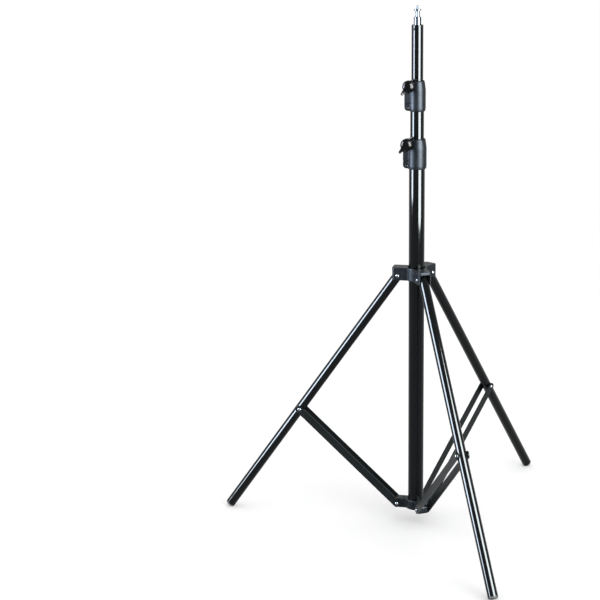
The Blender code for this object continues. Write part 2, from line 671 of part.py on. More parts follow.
def upper_hub():
    """Sliding spider: a barrel and plate with a pair of ears for each leg."""
    shape = turned([(0, -UPPER_HUB_DROP), (HUB_BARREL - EDGE, -UPPER_HUB_DROP),
                    (HUB_BARREL, -UPPER_HUB_DROP + EDGE), (HUB_BARREL, UPPER_HUB_TOP - EDGE),
                    (HUB_BARREL - EDGE, UPPER_HUB_TOP), (0, UPPER_HUB_TOP)], closed=False)
    outline = rounded_box((-EAR_OUTER, -EAR_OUTER), (UPPER_HUB_REACH, EAR_OUTER), ARM_ROUND)
    for heading in LEG_HEADINGS.values():
        arm = prism(outline, -UPPER_HUB_DROP, UPPER_HUB_TOP, EDGE)
        shape = joined(shape, moved(arm, turn_z(heading)))
    plate_low = UPPER_HUB_TOP - UPPER_HUB_PLATE
    for heading in LEG_HEADINGS.values():
        pocket = box((HUB_BARREL + EDGE, -EAR_INNER, -2 * UPPER_HUB_DROP),
                     (2 * UPPER_HUB_REACH, EAR_INNER, plate_low))
        hole = cross_hole(RIVET_RADIUS + SEAT_GAP, UPPER_PIVOT_RADIUS, 0, 2 * EAR_OUTER)
        shape = cut(shape, moved(pocket, turn_z(heading)), moved(hole, turn_z(heading)))
    lip_top = -UPPER_HUB_DROP + HUB_LIP
    lip_bore = COLUMN_R + 2 * RUN_GAP
    low = -UPPER_HUB_DROP - SPARE
    high = UPPER_HUB_TOP + SPARE
    bore = turned([(0, low), (lip_bore, low), (lip_bore, lip_top), (HUB_BORE, lip_top),
                   (HUB_BORE, high), (0, high)], closed=False)
    return cut(shape, bore)


def hub_bush():
    return tube(HUB_BORE - SEAT_GAP, COLUMN_R + RUN_GAP, -UPPER_HUB_DROP + HUB_LIP + SEAT_GAP,
                UPPER_HUB_TOP - HUB_BUSH_RECESS)


# ---- Legs, with the pivot at the origin and the leg along -Z

def leg_tube():
    high = LEG_TOP_REACH - LEG_CAP - SEAT_GAP
    low = -LEG_LENGTH + FOOT_TIP + SEAT_GAP
    return cut(tube(LEG_R, LEG_BORE, low, high),
               cross_hole(RIVET_RADIUS + SEAT_GAP, 0, 0, 2 * LEG_R))


def leg_cap():
    """Plug in the top of a leg that the pivot rivet runs through."""
    stem = LEG_BORE - SEAT_GAP
    rim = LEG_TOP_REACH - LEG_CAP
    shape = turned([(0, LEG_TOP_REACH - PLUG_DEPTH), (stem, LEG_TOP_REACH - PLUG_DEPTH),
                    (stem, rim), (LEG_R, rim), (LEG_R, LEG_TOP_REACH - EDGE),
                    (LEG_R - EDGE, LEG_TOP_REACH), (0, LEG_TOP_REACH)], closed=False)
    return cut(shape, cross_hole(RIVET_RADIUS + SEAT_GAP, 0, 0, 2 * LEG_R))


def foot():
    stem = LEG_BORE - SEAT_GAP
    end = -LEG_LENGTH
    rim = end + FOOT_TIP
    tip = arc((LEG_R - FOOT_ROUND, end + FOOT_ROUND), FOOT_ROUND, -90, 0, FOOT_STEPS)
    shape = [(0, end)] + tip + [(LEG_R, rim), (stem, rim), (stem, rim + PLUG_DEPTH),
                                (0, rim + PLUG_DEPTH)]
    return turned(shape, closed=False)


# ---- Braces, with the lower pivot at the origin and the bar along +Z

def brace_bar(side):
    """Flat bar on one side of the leg: side is -1 or 1."""
    radius = BRACE_WIDTH / 2
    outline = (arc((0, 0), radius, 180, 360, BRACE_END_STEPS)
               + arc((0, BRACE_LENGTH), radius, 0, 180, BRACE_END_STEPS))
    bar = moved(prism(outline, -BRACE_THICKNESS / 2, BRACE_THICKNESS / 2, BRACE_EDGE),
                Matrix.Rotation(math.radians(90), 4, "X"))
    bar.transform(Matrix.Translation((0, side * (BRACE_INNER + BRACE_OUTER) / 2, 0)))
    return cut(bar, cross_hole(RIVET_RADIUS + SEAT_GAP, 0, 0, 2 * BRACE_OUTER),
               cross_hole(RIVET_RADIUS + SEAT_GAP, 0, BRACE_LENGTH, 2 * BRACE_OUTER))


def brace_rivet(side):
    """Rivet at a bar's upper end. It stops short of the leg, because this pivot is left open."""
    half = dome(RIVET_HEAD_RADIUS, BRACE_OUTER + SEAT_GAP, RIVET_HEAD_HEIGHT, RIVET_RADIUS,
                BRACE_INNER)
    half = moved(half, ALONG_Y)
    if side < 0:
        half = moved(half, turn_z(180))
    return moved(half, Matrix.Translation((0, 0, BRACE_LENGTH)))


def tilt(angle):
    return Matrix.Rotation(angle, 4, "Y")


def build_stand():
    clear_scene()
    stand = pivot("stand", None, (0, COLUMN_Y, 0))

    node("column_tube", column_tube(), "tube", stand)
    node("column_end_plug", end_plug(), "nylon", stand)
    node("column_buffer", buffer(COLUMN_BORE, PLUG_TOP + SEAT_GAP), "rubber", stand)
    node("lower_hub", lower_hub(), "moulding", stand)
    node("lower_hub_grub_screw", grub_screw(), "zinc", stand)
    lower = Collar(COLUMN_R, MIDDLE_R)
    add_collar("lower", lower, stand, COLUMN_TOP - COLLAR_SEAT, LOWER_COLLAR_HEADING)

    middle = pivot("middle_slide", stand)
    node("middle_tube", tube(MIDDLE_R, MIDDLE_BORE, MIDDLE_BOTTOM, MIDDLE_TOP), "tube", middle)
    node("middle_glide", glide(COLUMN_BORE, MIDDLE_BORE, MIDDLE_GLIDE_BOTTOM), "nylon", middle)
    node("middle_buffer", buffer(MIDDLE_BORE, MIDDLE_BOTTOM + GLIDE_SPIGOT + SEAT_GAP), "rubber",
         middle)
    upper = Collar(MIDDLE_R, TOP_R)
    add_collar("upper", upper, middle, MIDDLE_TOP - COLLAR_SEAT, UPPER_COLLAR_HEADING)

    top = pivot("top_slide", middle)
    node("top_tube", cut(tube(TOP_R, TOP_BORE, TOP_BOTTOM, TOP_END), pin_hole()), "tube", top)
    node("top_glide", glide(MIDDLE_BORE, TOP_BORE, TOP_GLIDE_BOTTOM), "nylon", top)
    node("spigot_sleeve", cut(spigot_sleeve(), pin_hole()), "nylon", top)
    node("spigot", cut(spigot(), pin_hole()), "chrome", top)
    node("spigot_pin", spigot_pin(), "zinc", top)

    hub = pivot("hub_slide", stand, (0, 0, UPPER_PIVOT_HEIGHT))
    node("upper_hub", upper_hub(), "moulding", hub)
    node("upper_hub_bush", hub_bush(), "nylon", hub)

    for side, heading in LEG_HEADINGS.items():
        arm = pivot(side + "_arm", hub, (0, 0, 0), heading)
        hinge = pivot(side + "_leg_axis", arm, (UPPER_PIVOT_RADIUS, 0, 0))
        node(side + "_leg_rivet", rivet(EAR_OUTER + SEAT_GAP), "zinc", hinge)
        node(side + "_leg", leg_tube(), "tube", hinge, tilt(-LEG_ANGLE))
        node(side + "_leg_cap", leg_cap(), "nylon", hinge, tilt(-LEG_ANGLE))
        node(side + "_foot", foot(), "rubber", hinge, tilt(-LEG_ANGLE))

        root = pivot(side + "_lug", stand, (0, 0, 0), heading)
        hinge = pivot(side + "_brace_axis", root, (LOWER_PIVOT_RADIUS, 0, LOWER_PIVOT_HEIGHT))
        node(side + "_brace_rivet", rivet(BRACE_OUTER + SEAT_GAP), "zinc", hinge)
        for label, sign in (("a", -1), ("b", 1)):
            node(side + "_brace_" + label, brace_bar(sign), "brace", hinge, tilt(BRACE_ANGLE))
            node(side + "_brace_head_" + label, brace_rivet(sign), "zinc", hinge,
                 tilt(BRACE_ANGLE))


build_stand()
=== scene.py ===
# Looks of a folding three-section lighting stand: gloss black tubes, moulded nylon hubs and
# collars, flat steel braces, wing knobs and a chromed spigot. Lengths are in metres, so each size
# is written as a number of millimetres times mm

import json
import math

import bpy
from mathutils import Euler, Matrix, Vector


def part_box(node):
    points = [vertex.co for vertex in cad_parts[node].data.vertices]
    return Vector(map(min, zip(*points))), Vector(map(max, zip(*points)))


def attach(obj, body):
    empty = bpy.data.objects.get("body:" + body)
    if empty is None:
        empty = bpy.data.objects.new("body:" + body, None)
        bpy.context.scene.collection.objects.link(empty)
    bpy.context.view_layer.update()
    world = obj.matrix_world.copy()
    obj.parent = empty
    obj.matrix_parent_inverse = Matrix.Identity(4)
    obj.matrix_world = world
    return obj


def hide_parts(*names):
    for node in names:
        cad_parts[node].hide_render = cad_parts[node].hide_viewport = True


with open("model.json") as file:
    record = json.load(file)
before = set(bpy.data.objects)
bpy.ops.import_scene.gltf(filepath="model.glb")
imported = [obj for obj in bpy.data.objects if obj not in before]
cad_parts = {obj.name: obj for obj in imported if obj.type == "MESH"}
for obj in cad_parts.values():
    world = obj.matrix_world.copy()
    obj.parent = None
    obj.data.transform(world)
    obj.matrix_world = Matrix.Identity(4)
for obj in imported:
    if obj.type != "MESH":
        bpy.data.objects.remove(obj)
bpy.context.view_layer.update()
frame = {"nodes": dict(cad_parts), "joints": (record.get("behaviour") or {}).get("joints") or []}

mm = 0.001
joints = {joint["name"]: joint for joint in frame["joints"]}
tubeLow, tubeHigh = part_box("column_tube")
columnX = (tubeLow.x + tubeHigh.x) / 2
columnY = (tubeLow.y + tubeHigh.y) / 2
columnAxis = Matrix.Translation((columnX, columnY, 0))


# Small helpers for modelling by hand

def pickOnly(piece):
    bpy.ops.object.select_all(action="DESELECT")
    piece.select_set(True)
    bpy.context.view_layer.objects.active = piece


def applyModifier(piece, kind, **settings):
    pickOnly(piece)
    modifier = piece.modifiers.new(kind.lower(), kind)
    for key, value in settings.items():
        setattr(modifier, key, value)
    bpy.ops.object.modifier_apply(modifier=modifier.name)
    return piece


def placePiece(piece, matrix):
    pickOnly(piece)
    piece.matrix_world = matrix @ piece.matrix_world
    bpy.ops.object.transform_apply(location=True, rotation=True, scale=True)
    return piece


def turnPiece(name, profile, steps=96):
    # A profile of (radius, height) points is drawn by extruding one vertex, then spun about Z
    bpy.ops.object.select_all(action="DESELECT")
    bpy.ops.mesh.primitive_plane_add(size=mm)
    piece = bpy.context.object
    piece.name = name
    bpy.ops.object.mode_set(mode="EDIT")
    bpy.ops.mesh.select_mode(type="VERT")
    bpy.ops.mesh.merge(type="CENTER")
    bpy.ops.transform.translate(value=(profile[0][0], 0, profile[0][1]))
    for start, end in zip(profile, profile[1:]):
        step = (end[0] - start[0], 0, end[1] - start[1])
        bpy.ops.mesh.extrude_region_move(TRANSFORM_OT_translate={"value": step})
    bpy.ops.mesh.select_all(action="SELECT")
    bpy.ops.mesh.spin(steps=steps, angle=math.tau, center=(0, 0, 0), axis=(0, 0, 1))
    bpy.ops.mesh.select_all(action="SELECT")
    bpy.ops.mesh.remove_doubles(threshold=0.002 * mm)
    bpy.ops.mesh.normals_make_consistent(inside=False)
    bpy.ops.object.mode_set(mode="OBJECT")
    return piece


def ringPiece(name, bore, radius, low, high):
    return turnPiece(name, [(bore, low), (radius, low), (radius, high), (bore, high), (bore, low)])


def rodPiece(name, radius, low, high, steps=48):
    return turnPiece(name, [(0, low), (radius, low), (radius, high), (0, high)], steps)


def blockPiece(name, low, high):
    bpy.ops.object.select_all(action="DESELECT")
    centre = [(a + b) / 2 for a, b in zip(low, high)]
    bpy.ops.mesh.primitive_cube_add(size=1, location=centre)
    piece = bpy.context.object
    piece.name = name
    piece.scale = [b - a for a, b in zip(low, high)]
    bpy.ops.object.transform_apply(location=True, rotation=True, scale=True)
    return piece


def selectParts(piece, faces=None, edges=None):
    # Faces are picked by (centre, normal), edges by (middle, direction)
    pickOnly(piece)
    bpy.ops.object.mode_set(mode="EDIT")
    bpy.ops.mesh.select_mode(type="FACE" if faces else "EDGE")
    bpy.ops.mesh.select_all(action="DESELECT")
    bpy.ops.object.mode_set(mode="OBJECT")
    mesh = piece.data
    if faces:
        for face in mesh.polygons:
            face.select = faces(face.center, face.normal)
    if edges:
        for edge in mesh.edges:
            a, b = [mesh.vertices[index].co for index in edge.vertices]
            edge.select = edges((a + b) / 2, (b - a).normalized())
    bpy.ops.object.mode_set(mode="EDIT")


def roundEdges(piece, edges, width, segments):
    selectParts(piece, edges=edges)
    bpy.ops.mesh.bevel(offset=width, segments=segments, affect="EDGES")
    bpy.ops.object.mode_set(mode="OBJECT")
    return piece


def softenEdges(piece, width, segments=2, angle=35):
    return applyModifier(piece, "BEVEL", width=width, segments=segments, limit_method="ANGLE",
                         angle_limit=math.radians(angle), use_clamp_overlap=True)


def combine(piece, tools, operation):
    for tool in tools:
        applyModifier(piece, "BOOLEAN", operation=operation, solver="EXACT", object=tool)
        bpy.data.objects.remove(tool, do_unlink=True)
    return piece


def cutPiece(piece, *tools):
    return combine(piece, tools, "DIFFERENCE")


def joinPiece(piece, *tools):
    return combine(piece, tools, "UNION")


def mouldPiece(piece, voxel, passes, kept=0.35):
    # A fine remesh and a few smoothing passes give the small fillets of a moulding
    applyModifier(piece, "REMESH", mode="VOXEL", voxel_size=voxel)
    applyModifier(piece, "SMOOTH", factor=0.5, iterations=passes)
    return applyModifier(piece, "DECIMATE", ratio=kept)


def copyPiece(master, name):
    # A repeated piece is modelled once, and each copy has its own mesh
    pickOnly(master)
    bpy.ops.object.duplicate(linked=False)
    bpy.context.object.name = name
    return bpy.context.object


def removeMasters(*masters):
    for master in masters:
        bpy.data.objects.remove(master, do_unlink=True)


def finishPiece(piece, body, slotName, material, *nodes):
    # Weighted normals keep long faces flat beside their small edge roundings
    pickOnly(piece)
    bpy.ops.object.shade_smooth_by_angle(angle=math.radians(40))
    applyModifier(piece, "WEIGHTED_NORMAL", keep_sharp=True)
    piece.data.materials.clear()
    piece.data.materials.append(material)
    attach(piece, body)
    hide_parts(*nodes)


def turnedTo(x=0, y=0, z=0):
    # In degrees
    return Euler([math.radians(angle) for angle in (x, y, z)]).to_matrix().to_4x4()


alongX = turnedTo(y=90)
alongY = turnedTo(x=-90)


def threadRidge(name, radius, pitch, low, high, depth):
    # A closed triangle wound up the shank, a turn for each pitch
    bpy.ops.object.select_all(action="DESELECT")
    bpy.ops.mesh.primitive_circle_add(vertices=3, radius=depth, fill_type="NOTHING")
    ridge = bpy.context.object
    ridge.name = name
    placePiece(ridge, Matrix.Translation((radius, 0, low)) @ turnedTo(x=90) @ turnedTo(z=-90))
    turns = round((high - low) / pitch)
    return applyModifier(ridge, "SCREW", angle=math.tau, screw_offset=pitch, iterations=turns,
                         steps=24, render_steps=24, use_merge_vertices=False,
                         use_normal_calculate=True)


def mergeIn(piece, *extras):
    # Loose extras become part of the piece's own mesh
    pickOnly(piece)
    for extra in extras:
        extra.select_set(True)
    bpy.ops.object.join()
    return piece


# Materials. Marks have real sizes, and those too fine for the photo's distance are drawn coarser

def linear(code):
    channels = [int(code[index:index + 2], 16) / 255 for index in (1, 3, 5)]
    return [c / 12.92 if c <= 0.04045 else ((c + 0.055) / 1.055) ** 2.4 for c in channels] + [1.0]


def addNode(tree, kind, options=None, values=None, links=None):
    item = tree.nodes.new(kind)
    for key, value in (options or {}).items():
        setattr(item, key, value)
    for key, value in (values or {}).items():
        item.inputs[key].default_value = value
    for key, socket in (links or {}).items():
        tree.links.new(socket, item.inputs[key])
    return item


def startMaterial(name, home, **shaderValues):
    # home is the piece's own frame, so that patterns follow it wherever it stands
    material = bpy.data.materials.new(name)
    material.use_nodes = True
    tree = material.node_tree
    shader = tree.nodes["Principled BSDF"]
    for key, value in shaderValues.items():
        shader.inputs[key.replace("_", " ")].default_value = value
    where = addNode(tree, "ShaderNodeTexCoord")
    place = addNode(tree, "ShaderNodeMapping", {"vector_type": "TEXTURE"},
                    {"Location": home.to_translation(), "Rotation": home.to_euler()},
                    {"Vector": where.outputs["Object"]})
    return material, tree, shader, place.outputs["Vector"]


def marksOf(tree, vector, size, stretch=(1, 1, 1), detail=3.0, fineness=0.55):
    # Cloudy marks as wide as size. stretch draws them out along an axis
    spread = addNode(tree, "ShaderNodeVectorMath", {"operation": "DIVIDE"},
                     {1: [size * share for share in stretch]}, {0: vector})
    noise = addNode(tree, "ShaderNodeTexNoise", {},
                    {"Scale": 1.0, "Detail": detail, "Roughness": fineness},
                    {"Vector": spread.outputs["Vector"]})
    return noise.outputs["Fac"]


def mottle(tree, vector, marks, colours, stops):
    # Patches whose first colour turns to the second as they rise from one stop to the other
    patches = marksOf(tree, vector, **marks)
    ramp = addNode(tree, "ShaderNodeValToRGB", {}, {}, {"Fac": patches})
    for element, code, position in zip(ramp.color_ramp.elements, colours, stops):
        element.position = position
        element.color = linear(code)
    return patches, ramp.outputs["Color"]


def coat(name, home, s, **shaderValues):
    # A finish from its settings: mottled colour, worn spots if any, varied gloss and fine relief
    material, tree, shader, vector = startMaterial(name, home, **shaderValues)
    patches, colour = mottle(tree, vector, s["patches"], s["colours"], s["stops"])

    # Marks lie mostly between 0.3 and 0.7, which is spread over the whole range of roughness
    streaks = marksOf(tree, vector, **s["draw"]) if "draw" in s else patches
    smoothest, roughest = s["rough"]
    gloss = addNode(tree, "ShaderNodeMapRange", {},
                    {"From Min": 0.3, "From Max": 0.7, "To Min": smoothest, "To Max": roughest},
                    {"Value": streaks})
    rough = gloss.outputs["Result"]

    # Worn spots are scuffs or dust if the settings size them, and otherwise the proud edges that
    # hands polish, where pointiness is high. The colours of Mix are inputs 6 and 7 and output 2
    if "worn" in s:
        if "scuffs" in s:
            where = marksOf(tree, vector, **s["scuffs"])
        else:
            where = addNode(tree, "ShaderNodeNewGeometry").outputs["Pointiness"]
        low, high = s["wornRange"]
        spots = addNode(tree, "ShaderNodeMapRange", {},
                        {"From Min": low, "From Max": high, "To Max": s["wornShare"]},
                        {"Value": where})
        over = addNode(tree, "ShaderNodeMix", {"data_type": "RGBA"}, {7: linear(s["worn"])},
                       {0: spots.outputs["Result"], 6: colour})
        colour = over.outputs[2]
        if "wornRough" in s:
            duller = addNode(tree, "ShaderNodeMath", {"operation": "MULTIPLY_ADD"},
                             {1: s["wornRough"]}, {0: spots.outputs["Result"], 2: rough})
            rough = duller.outputs["Value"]

    relief = addNode(tree, "ShaderNodeBump", {},
                     {"Distance": s["depth"], "Strength": s["strength"]},
                     {"Height": marksOf(tree, vector, **s["relief"])})
    tree.links.new(colour, shader.inputs["Base Color"])
    tree.links.new(rough, shader.inputs["Roughness"])
    tree.links.new(relief.outputs["Normal"], shader.inputs["Normal"])
    return material


enamelSettings = {
    "colours": ("#020304", "#060709"), "stops": (0.3, 0.75),
    "patches": {"size": 55 * mm},
    "draw": {"size": 0.9 * mm, "stretch": (1, 1, 70)}, "rough": (0.05, 0.065),
    "worn": "#181b1e", "wornRange": (0.68, 0.82), "wornShare": 0.55, "wornRough": 0.07,
    "scuffs": {"size": 1.6 * mm, "stretch": (1, 1, 22), "detail": 5.0, "fineness": 0.7},
    "relief": {"size": 4.0 * mm}, "depth": 0.0015 * mm, "strength": 0.35,
}


def glossEnamel(name, home):
    # Black gloss enamel baked on drawn aluminium tube: deep black with crisp, straight highlights.
    # Its IOR is below a real enamel's, because the stage lamps are strong
    return coat(name, home, enamelSettings, IOR=1.25, Specular_Tint=linear("#e4edef"))


nylonSettings = {
    "colours": ("#0b0f12", "#12171b"), "stops": (0.32, 0.7),
    "patches": {"size": 9 * mm, "detail": 5.0},
    "rough": (0.34, 0.44), "worn": "#283138", "wornRange": (0.53, 0.62), "wornShare": 1.0,
    "relief": {"size": 0.7 * mm, "detail": 4.0}, "depth": 0.05 * mm, "strength": 0.5,
}


def mouldedNylon(name, home):
    # Glass-filled nylon from a spark-eroded mould: blue-grey black, satin, with a fine even grain
    return coat(name, home, nylonSettings, IOR=1.53, Specular_IOR_Level=0.11,
                Specular_Tint=linear("#cfdeee"))


stripSettings = {
    "colours": ("#060809", "#0d1112"), "stops": (0.3, 0.72),
    "patches": {"size": 18 * mm, "stretch": (1, 1, 3), "detail": 4.0},
    "rough": (0.27, 0.32), "worn": "#1e2528", "wornRange": (0.54, 0.66), "wornShare": 1.0,
    "relief": {"size": 1.1 * mm}, "depth": 0.02 * mm, "strength": 0.4,
}


def paintedStrip(name, home):
    # Semi-gloss black paint on rolled steel strip: an even sheen that thins to grey at the edges
    return coat(name, home, stripSettings, IOR=1.5, Specular_IOR_Level=0.14,
                Specular_Tint=linear("#d4e4e6"))


absSettings = {
    "colours": ("#050607", "#0c0e10"), "stops": (0.3, 0.7),
    "patches": {"size": 6 * mm, "detail": 4.0},
    "rough": (0.1, 0.16), "worn": "#23282c", "wornRange": (0.54, 0.68), "wornShare": 1.0,
    "relief": {"size": 3 * mm}, "depth": 0.012 * mm, "strength": 0.4,
}


def polishedAbs(name, home):
    # ABS from a polished mould: near black with sharp small highlights and slight flow ripples
    return coat(name, home, absSettings, IOR=1.54, Specular_IOR_Level=0.06)


rubberSettings = {
    "colours": ("#0d0d0e", "#19191a"), "stops": (0.3, 0.7),
    "patches": {"size": 4 * mm, "detail": 5.0},
    "rough": (0.62, 0.82), "worn": "#4c4a46", "wornRange": (0.52, 0.75), "wornShare": 0.35,
    "scuffs": {"size": 1.2 * mm, "detail": 6.0},
    "relief": {"size": 0.5 * mm}, "depth": 0.08 * mm, "strength": 0.5,
}


def mouldedRubber(name, home):
    # Moulded rubber: flat black, dusty where it has stood on floors
    return coat(name, home, rubberSettings, IOR=1.52, Specular_IOR_Level=0.3)


plainNylonSettings = {
    "colours": ("#121315", "#1c1e21"), "stops": (0.3, 0.7),
    "patches": {"size": 5 * mm, "detail": 4.0},
    "rough": (0.34, 0.5), "relief": {"size": 1.4 * mm}, "depth": 0.02 * mm, "strength": 0.4,
}


def plainNylon(name, home):
    # Unfilled black nylon: a soft waxy sheen with faint mould swirls
    return coat(name, home, plainNylonSettings, IOR=1.53, Specular_IOR_Level=0.2)


# The lamps that metals mirror are strong, so the plated steels are darker here than real ones
turnedSettings = {
    "stops": (0.25, 0.7), "rough": (0.2, 0.34), "strength": 0.4,
    "relief": {"size": 0.25 * mm, "stretch": (6, 6, 1)}, "depth": 0.01 * mm,
}
zincSettings = {
    **turnedSettings,
    "colours": ("#3f4245", "#606468"), "patches": {"size": 1.6 * mm, "detail": 4.0},
}
oxideSettings = {
    **turnedSettings,
    "colours": ("#0e0f10", "#1c1e20"), "patches": {"size": 1.2 * mm, "detail": 4.0},
}


def zincPlate(name, home):
    # Bright zinc plate on turned steel: silver with fine turning marks and a cloudy passivation
    return coat(name, home, zincSettings, Metallic=1.0)


def blackOxide(name, home):
    # Black oxide on turned steel: dark grey with a dull metal glint
    return coat(name, home, oxideSettings, Metallic=1.0)


chromeSettings = {
    "colours": ("#2c3136", "#41484e"), "stops": (0.3, 0.7),
    "patches": {"size": 3 * mm, "detail": 3.0},
    "rough": (0.03, 0.07), "strength": 0.3,
    "relief": {"size": 0.8 * mm, "stretch": (30, 30, 1)}, "depth": 0.0005 * mm,
}


def chromePlate(name, home):
    # Polished chrome on a turned steel spigot: mirror smooth, with hairline rings from lamp sockets
    return coat(name, home, chromeSettings, Metallic=1.0)


print("materials ready")


# Camera and stage

# turn is the camera's place round the column in degrees, and aim, dip and roll point it
cameraSettings = {"distance": 3.5129, "height": 1.5361, "turn": -111.26, "aim": 17.01, "dip": 15.95,
                  "roll": -0.94, "lens": 97.76}


def cameraMatrix():
    s = cameraSettings
    turn, aim, dip, roll = [math.radians(s[key]) for key in ("turn", "aim", "dip", "roll")]
    place = Vector((columnX + s["distance"] * math.cos(turn),
                    columnY + s["distance"] * math.sin(turn), s["height"]))
    ahead = Vector((math.sin(aim) * math.cos(dip), math.cos(aim) * math.cos(dip), -math.sin(dip)))
    level = Vector((math.cos(aim), -math.sin(aim), 0))
    upright = level.cross(ahead)
    right = math.cos(roll) * level + math.sin(roll) * upright
    up = math.cos(roll) * upright - math.sin(roll) * level
    turned = Matrix((right, up, -ahead)).transposed().to_4x4()
    return Matrix.Translation(place) @ turned


def addCamera():
    lens = bpy.data.cameras.new("studioCamera")
    lens.lens = cameraSettings["lens"]
    lens.sensor_width = 36.0
    lens.clip_end = 100.0
    camera = bpy.data.objects.new("studioCamera", lens)
    bpy.context.scene.collection.objects.link(camera)
    camera.matrix_world = cameraMatrix()
    bpy.context.scene.camera = camera


def stagePoint(toCamera, toRight, up):
    # A point counted from the column, towards the camera and to its right
    turn = math.radians(cameraSettings["turn"])
    near = Vector((math.cos(turn), math.sin(turn), 0))
    right = Vector((-near.y, near.x, 0))
    return Vector((columnX, columnY, up)) + toCamera * near + toRight * right


# A softbox stands on either side. Each is a pair of lamps of one size: highlight shows only in
# gloss, where it draws the bright stripes, and fill only lights surfaces. A glow of 1 is as bright
# as white
softboxes = {
    "left": {"azimuth": -68, "distance": 2.5, "height": 1.38, "size": (1.15, 2.5), "aimHeight": 0.9,
             "highlight": 92.0, "fill": 0.9, "tint": "#e8f0ff"},
    "right": {"azimuth": 43, "distance": 2.5, "height": 1.33, "size": (1.8, 2.6), "aimHeight": 0.9,
              "highlight": 86.0, "fill": 0.9, "tint": "#ffffff"},
}
fillSpread = 60.0
roomLight = 1.08  # An even white room, just bright enough for white paper from every side


def addLamp(name, place, target, size, glow, spread=180.0, tint="#ffffff"):
    lamp = bpy.data.lights.new(name, "AREA")
    lamp.shape = "RECTANGLE"
    lamp.size, lamp.size_y = size
    lamp.spread = math.radians(spread)
    lamp.color = linear(tint)[:3]
    lamp.energy = glow * math.pi * size[0] * size[1]
    light = bpy.data.objects.new(name, lamp)
    bpy.context.scene.collection.objects.link(light)
    light.location = place
    light.rotation_euler = (place - target).to_track_quat("Z", "Y").to_euler()
    light.visible_camera = False
    return light


def addLamps():
    for name, s in softboxes.items():
        azimuth = math.radians(s["azimuth"])
        place = stagePoint(s["distance"] * math.cos(azimuth), s["distance"] * math.sin(azimuth),
                           s["height"])
        target = stagePoint(0, 0, s["aimHeight"])
        highlight = addLamp(name + "Highlight", place, target, s["size"], s["highlight"],
                            tint=s["tint"])
        highlight.visible_diffuse = False
        fill = addLamp(name + "Fill", place, target, s["size"], s["fill"], fillSpread)
        fill.visible_glossy = False


def addFloor():
    bpy.ops.object.select_all(action="DESELECT")
    bpy.ops.mesh.primitive_plane_add(size=80.0)
    floor = bpy.context.object
    floor.name = "paperFloor"
    # Matt white paper, with clouds half a metre wide that hardly show
    material, tree, shader, vector = startMaterial("whiteStudioPaper", Matrix.Identity(4),
                                                   Roughness=0.9, Specular_IOR_Level=0.0)
    colour = mottle(tree, vector, {"size": 0.5, "detail": 2.0}, ("#f6f6f6", "#f8f8f8"),
                    (0.2, 0.8))[1]
    tree.links.new(colour, shader.inputs["Base Color"])
    floor.data.materials.append(material)


def setWorld():
    world = bpy.context.scene.world or bpy.data.worlds.new("studio")
    bpy.context.scene.world = world
    world.use_nodes = True
    background = world.node_tree.nodes["Background"]
    background.inputs["Color"].default_value = linear("#ffffff")
    background.inputs["Strength"].default_value = roomLight


addCamera()
addLamps()
addFloor()
setWorld()
bpy.context.scene.view_settings.view_transform = "Standard"
print("stage ready")


# Telescopic tubes

tubeSettings = {"columnRadius": 17.5 * mm, "middleRadius": 15.0 * mm, "topRadius": 12.7 * mm,
                "wall": 1.5 * mm, "edge": 0.35 * mm, "pinHole": 2.3 * mm, "pinDrop": 8.0 * mm,
                "pinTurn": -147.0}


def pinBore():
    # The pin's hole runs right through the tube, the sleeve and the spigot
    length = 2 * tubeSettings["topRadius"]
    tool = rodPiece("pinBore", tubeSettings["pinHole"], -length, length)
    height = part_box("top_tube")[1].z - tubeSettings["pinDrop"]
    turned = turnedTo(z=tubeSettings["pinTurn"]) @ alongX
    return placePiece(tool, Matrix.Translation((0, 0, height)) @ turned)


def makeTube(node, radius, body):
    s = tubeSettings
    low, high = [corner.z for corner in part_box(node)]
    tube = ringPiece(node + "_enamelled", radius - s["wall"], radius, low, high)
    softenEdges(tube, s["edge"])
    if node == "top_tube":
        cutPiece(tube, pinBore())
    placePiece(tube, columnAxis)
    finishPiece(tube, body, "tube", glossEnamel(node + "_glossEnamel", columnAxis), node)


makeTube("column_tube", tubeSettings["columnRadius"], "base")
makeTube("middle_tube", tubeSettings["middleRadius"], "middle_section")
makeTube("top_tube", tubeSettings["topRadius"], "top_section")
print("telescopic tubes done")


# Spigot, its sleeve and pin

spigotSettings = {
    "radius": 8.0 * mm, "neckRadius": 4.8 * mm, "neck": 12.0 * mm, "lip": 2.2 * mm,
    "slope": 1.0 * mm, "body": 16.5 * mm, "seat": 30.0 * mm, "edge": 0.28 * mm,
    "studRadius": 3.1 * mm, "stud": 8.0 * mm, "studFlare": 0.8 * mm, "flareRise": 0.5 * mm,
    "tipChamfer": 0.8 * mm, "pitch": 1.27 * mm, "threadDepth": 0.42 * mm, "threadFill": 0.8,
    "threadLift": 0.12 * mm, "threadStart": 0.9 * mm, "threadEnd": 2.1 * mm,
    "sleeveSink": 0.5 * mm, "sleeveEdge": 0.3 * mm, "gap": 0.3 * mm,
    "pinRadius": 2.0 * mm, "pinHead": 2.9 * mm, "pinHeadHeight": 1.0 * mm, "pinRim": 0.6 * mm,
}


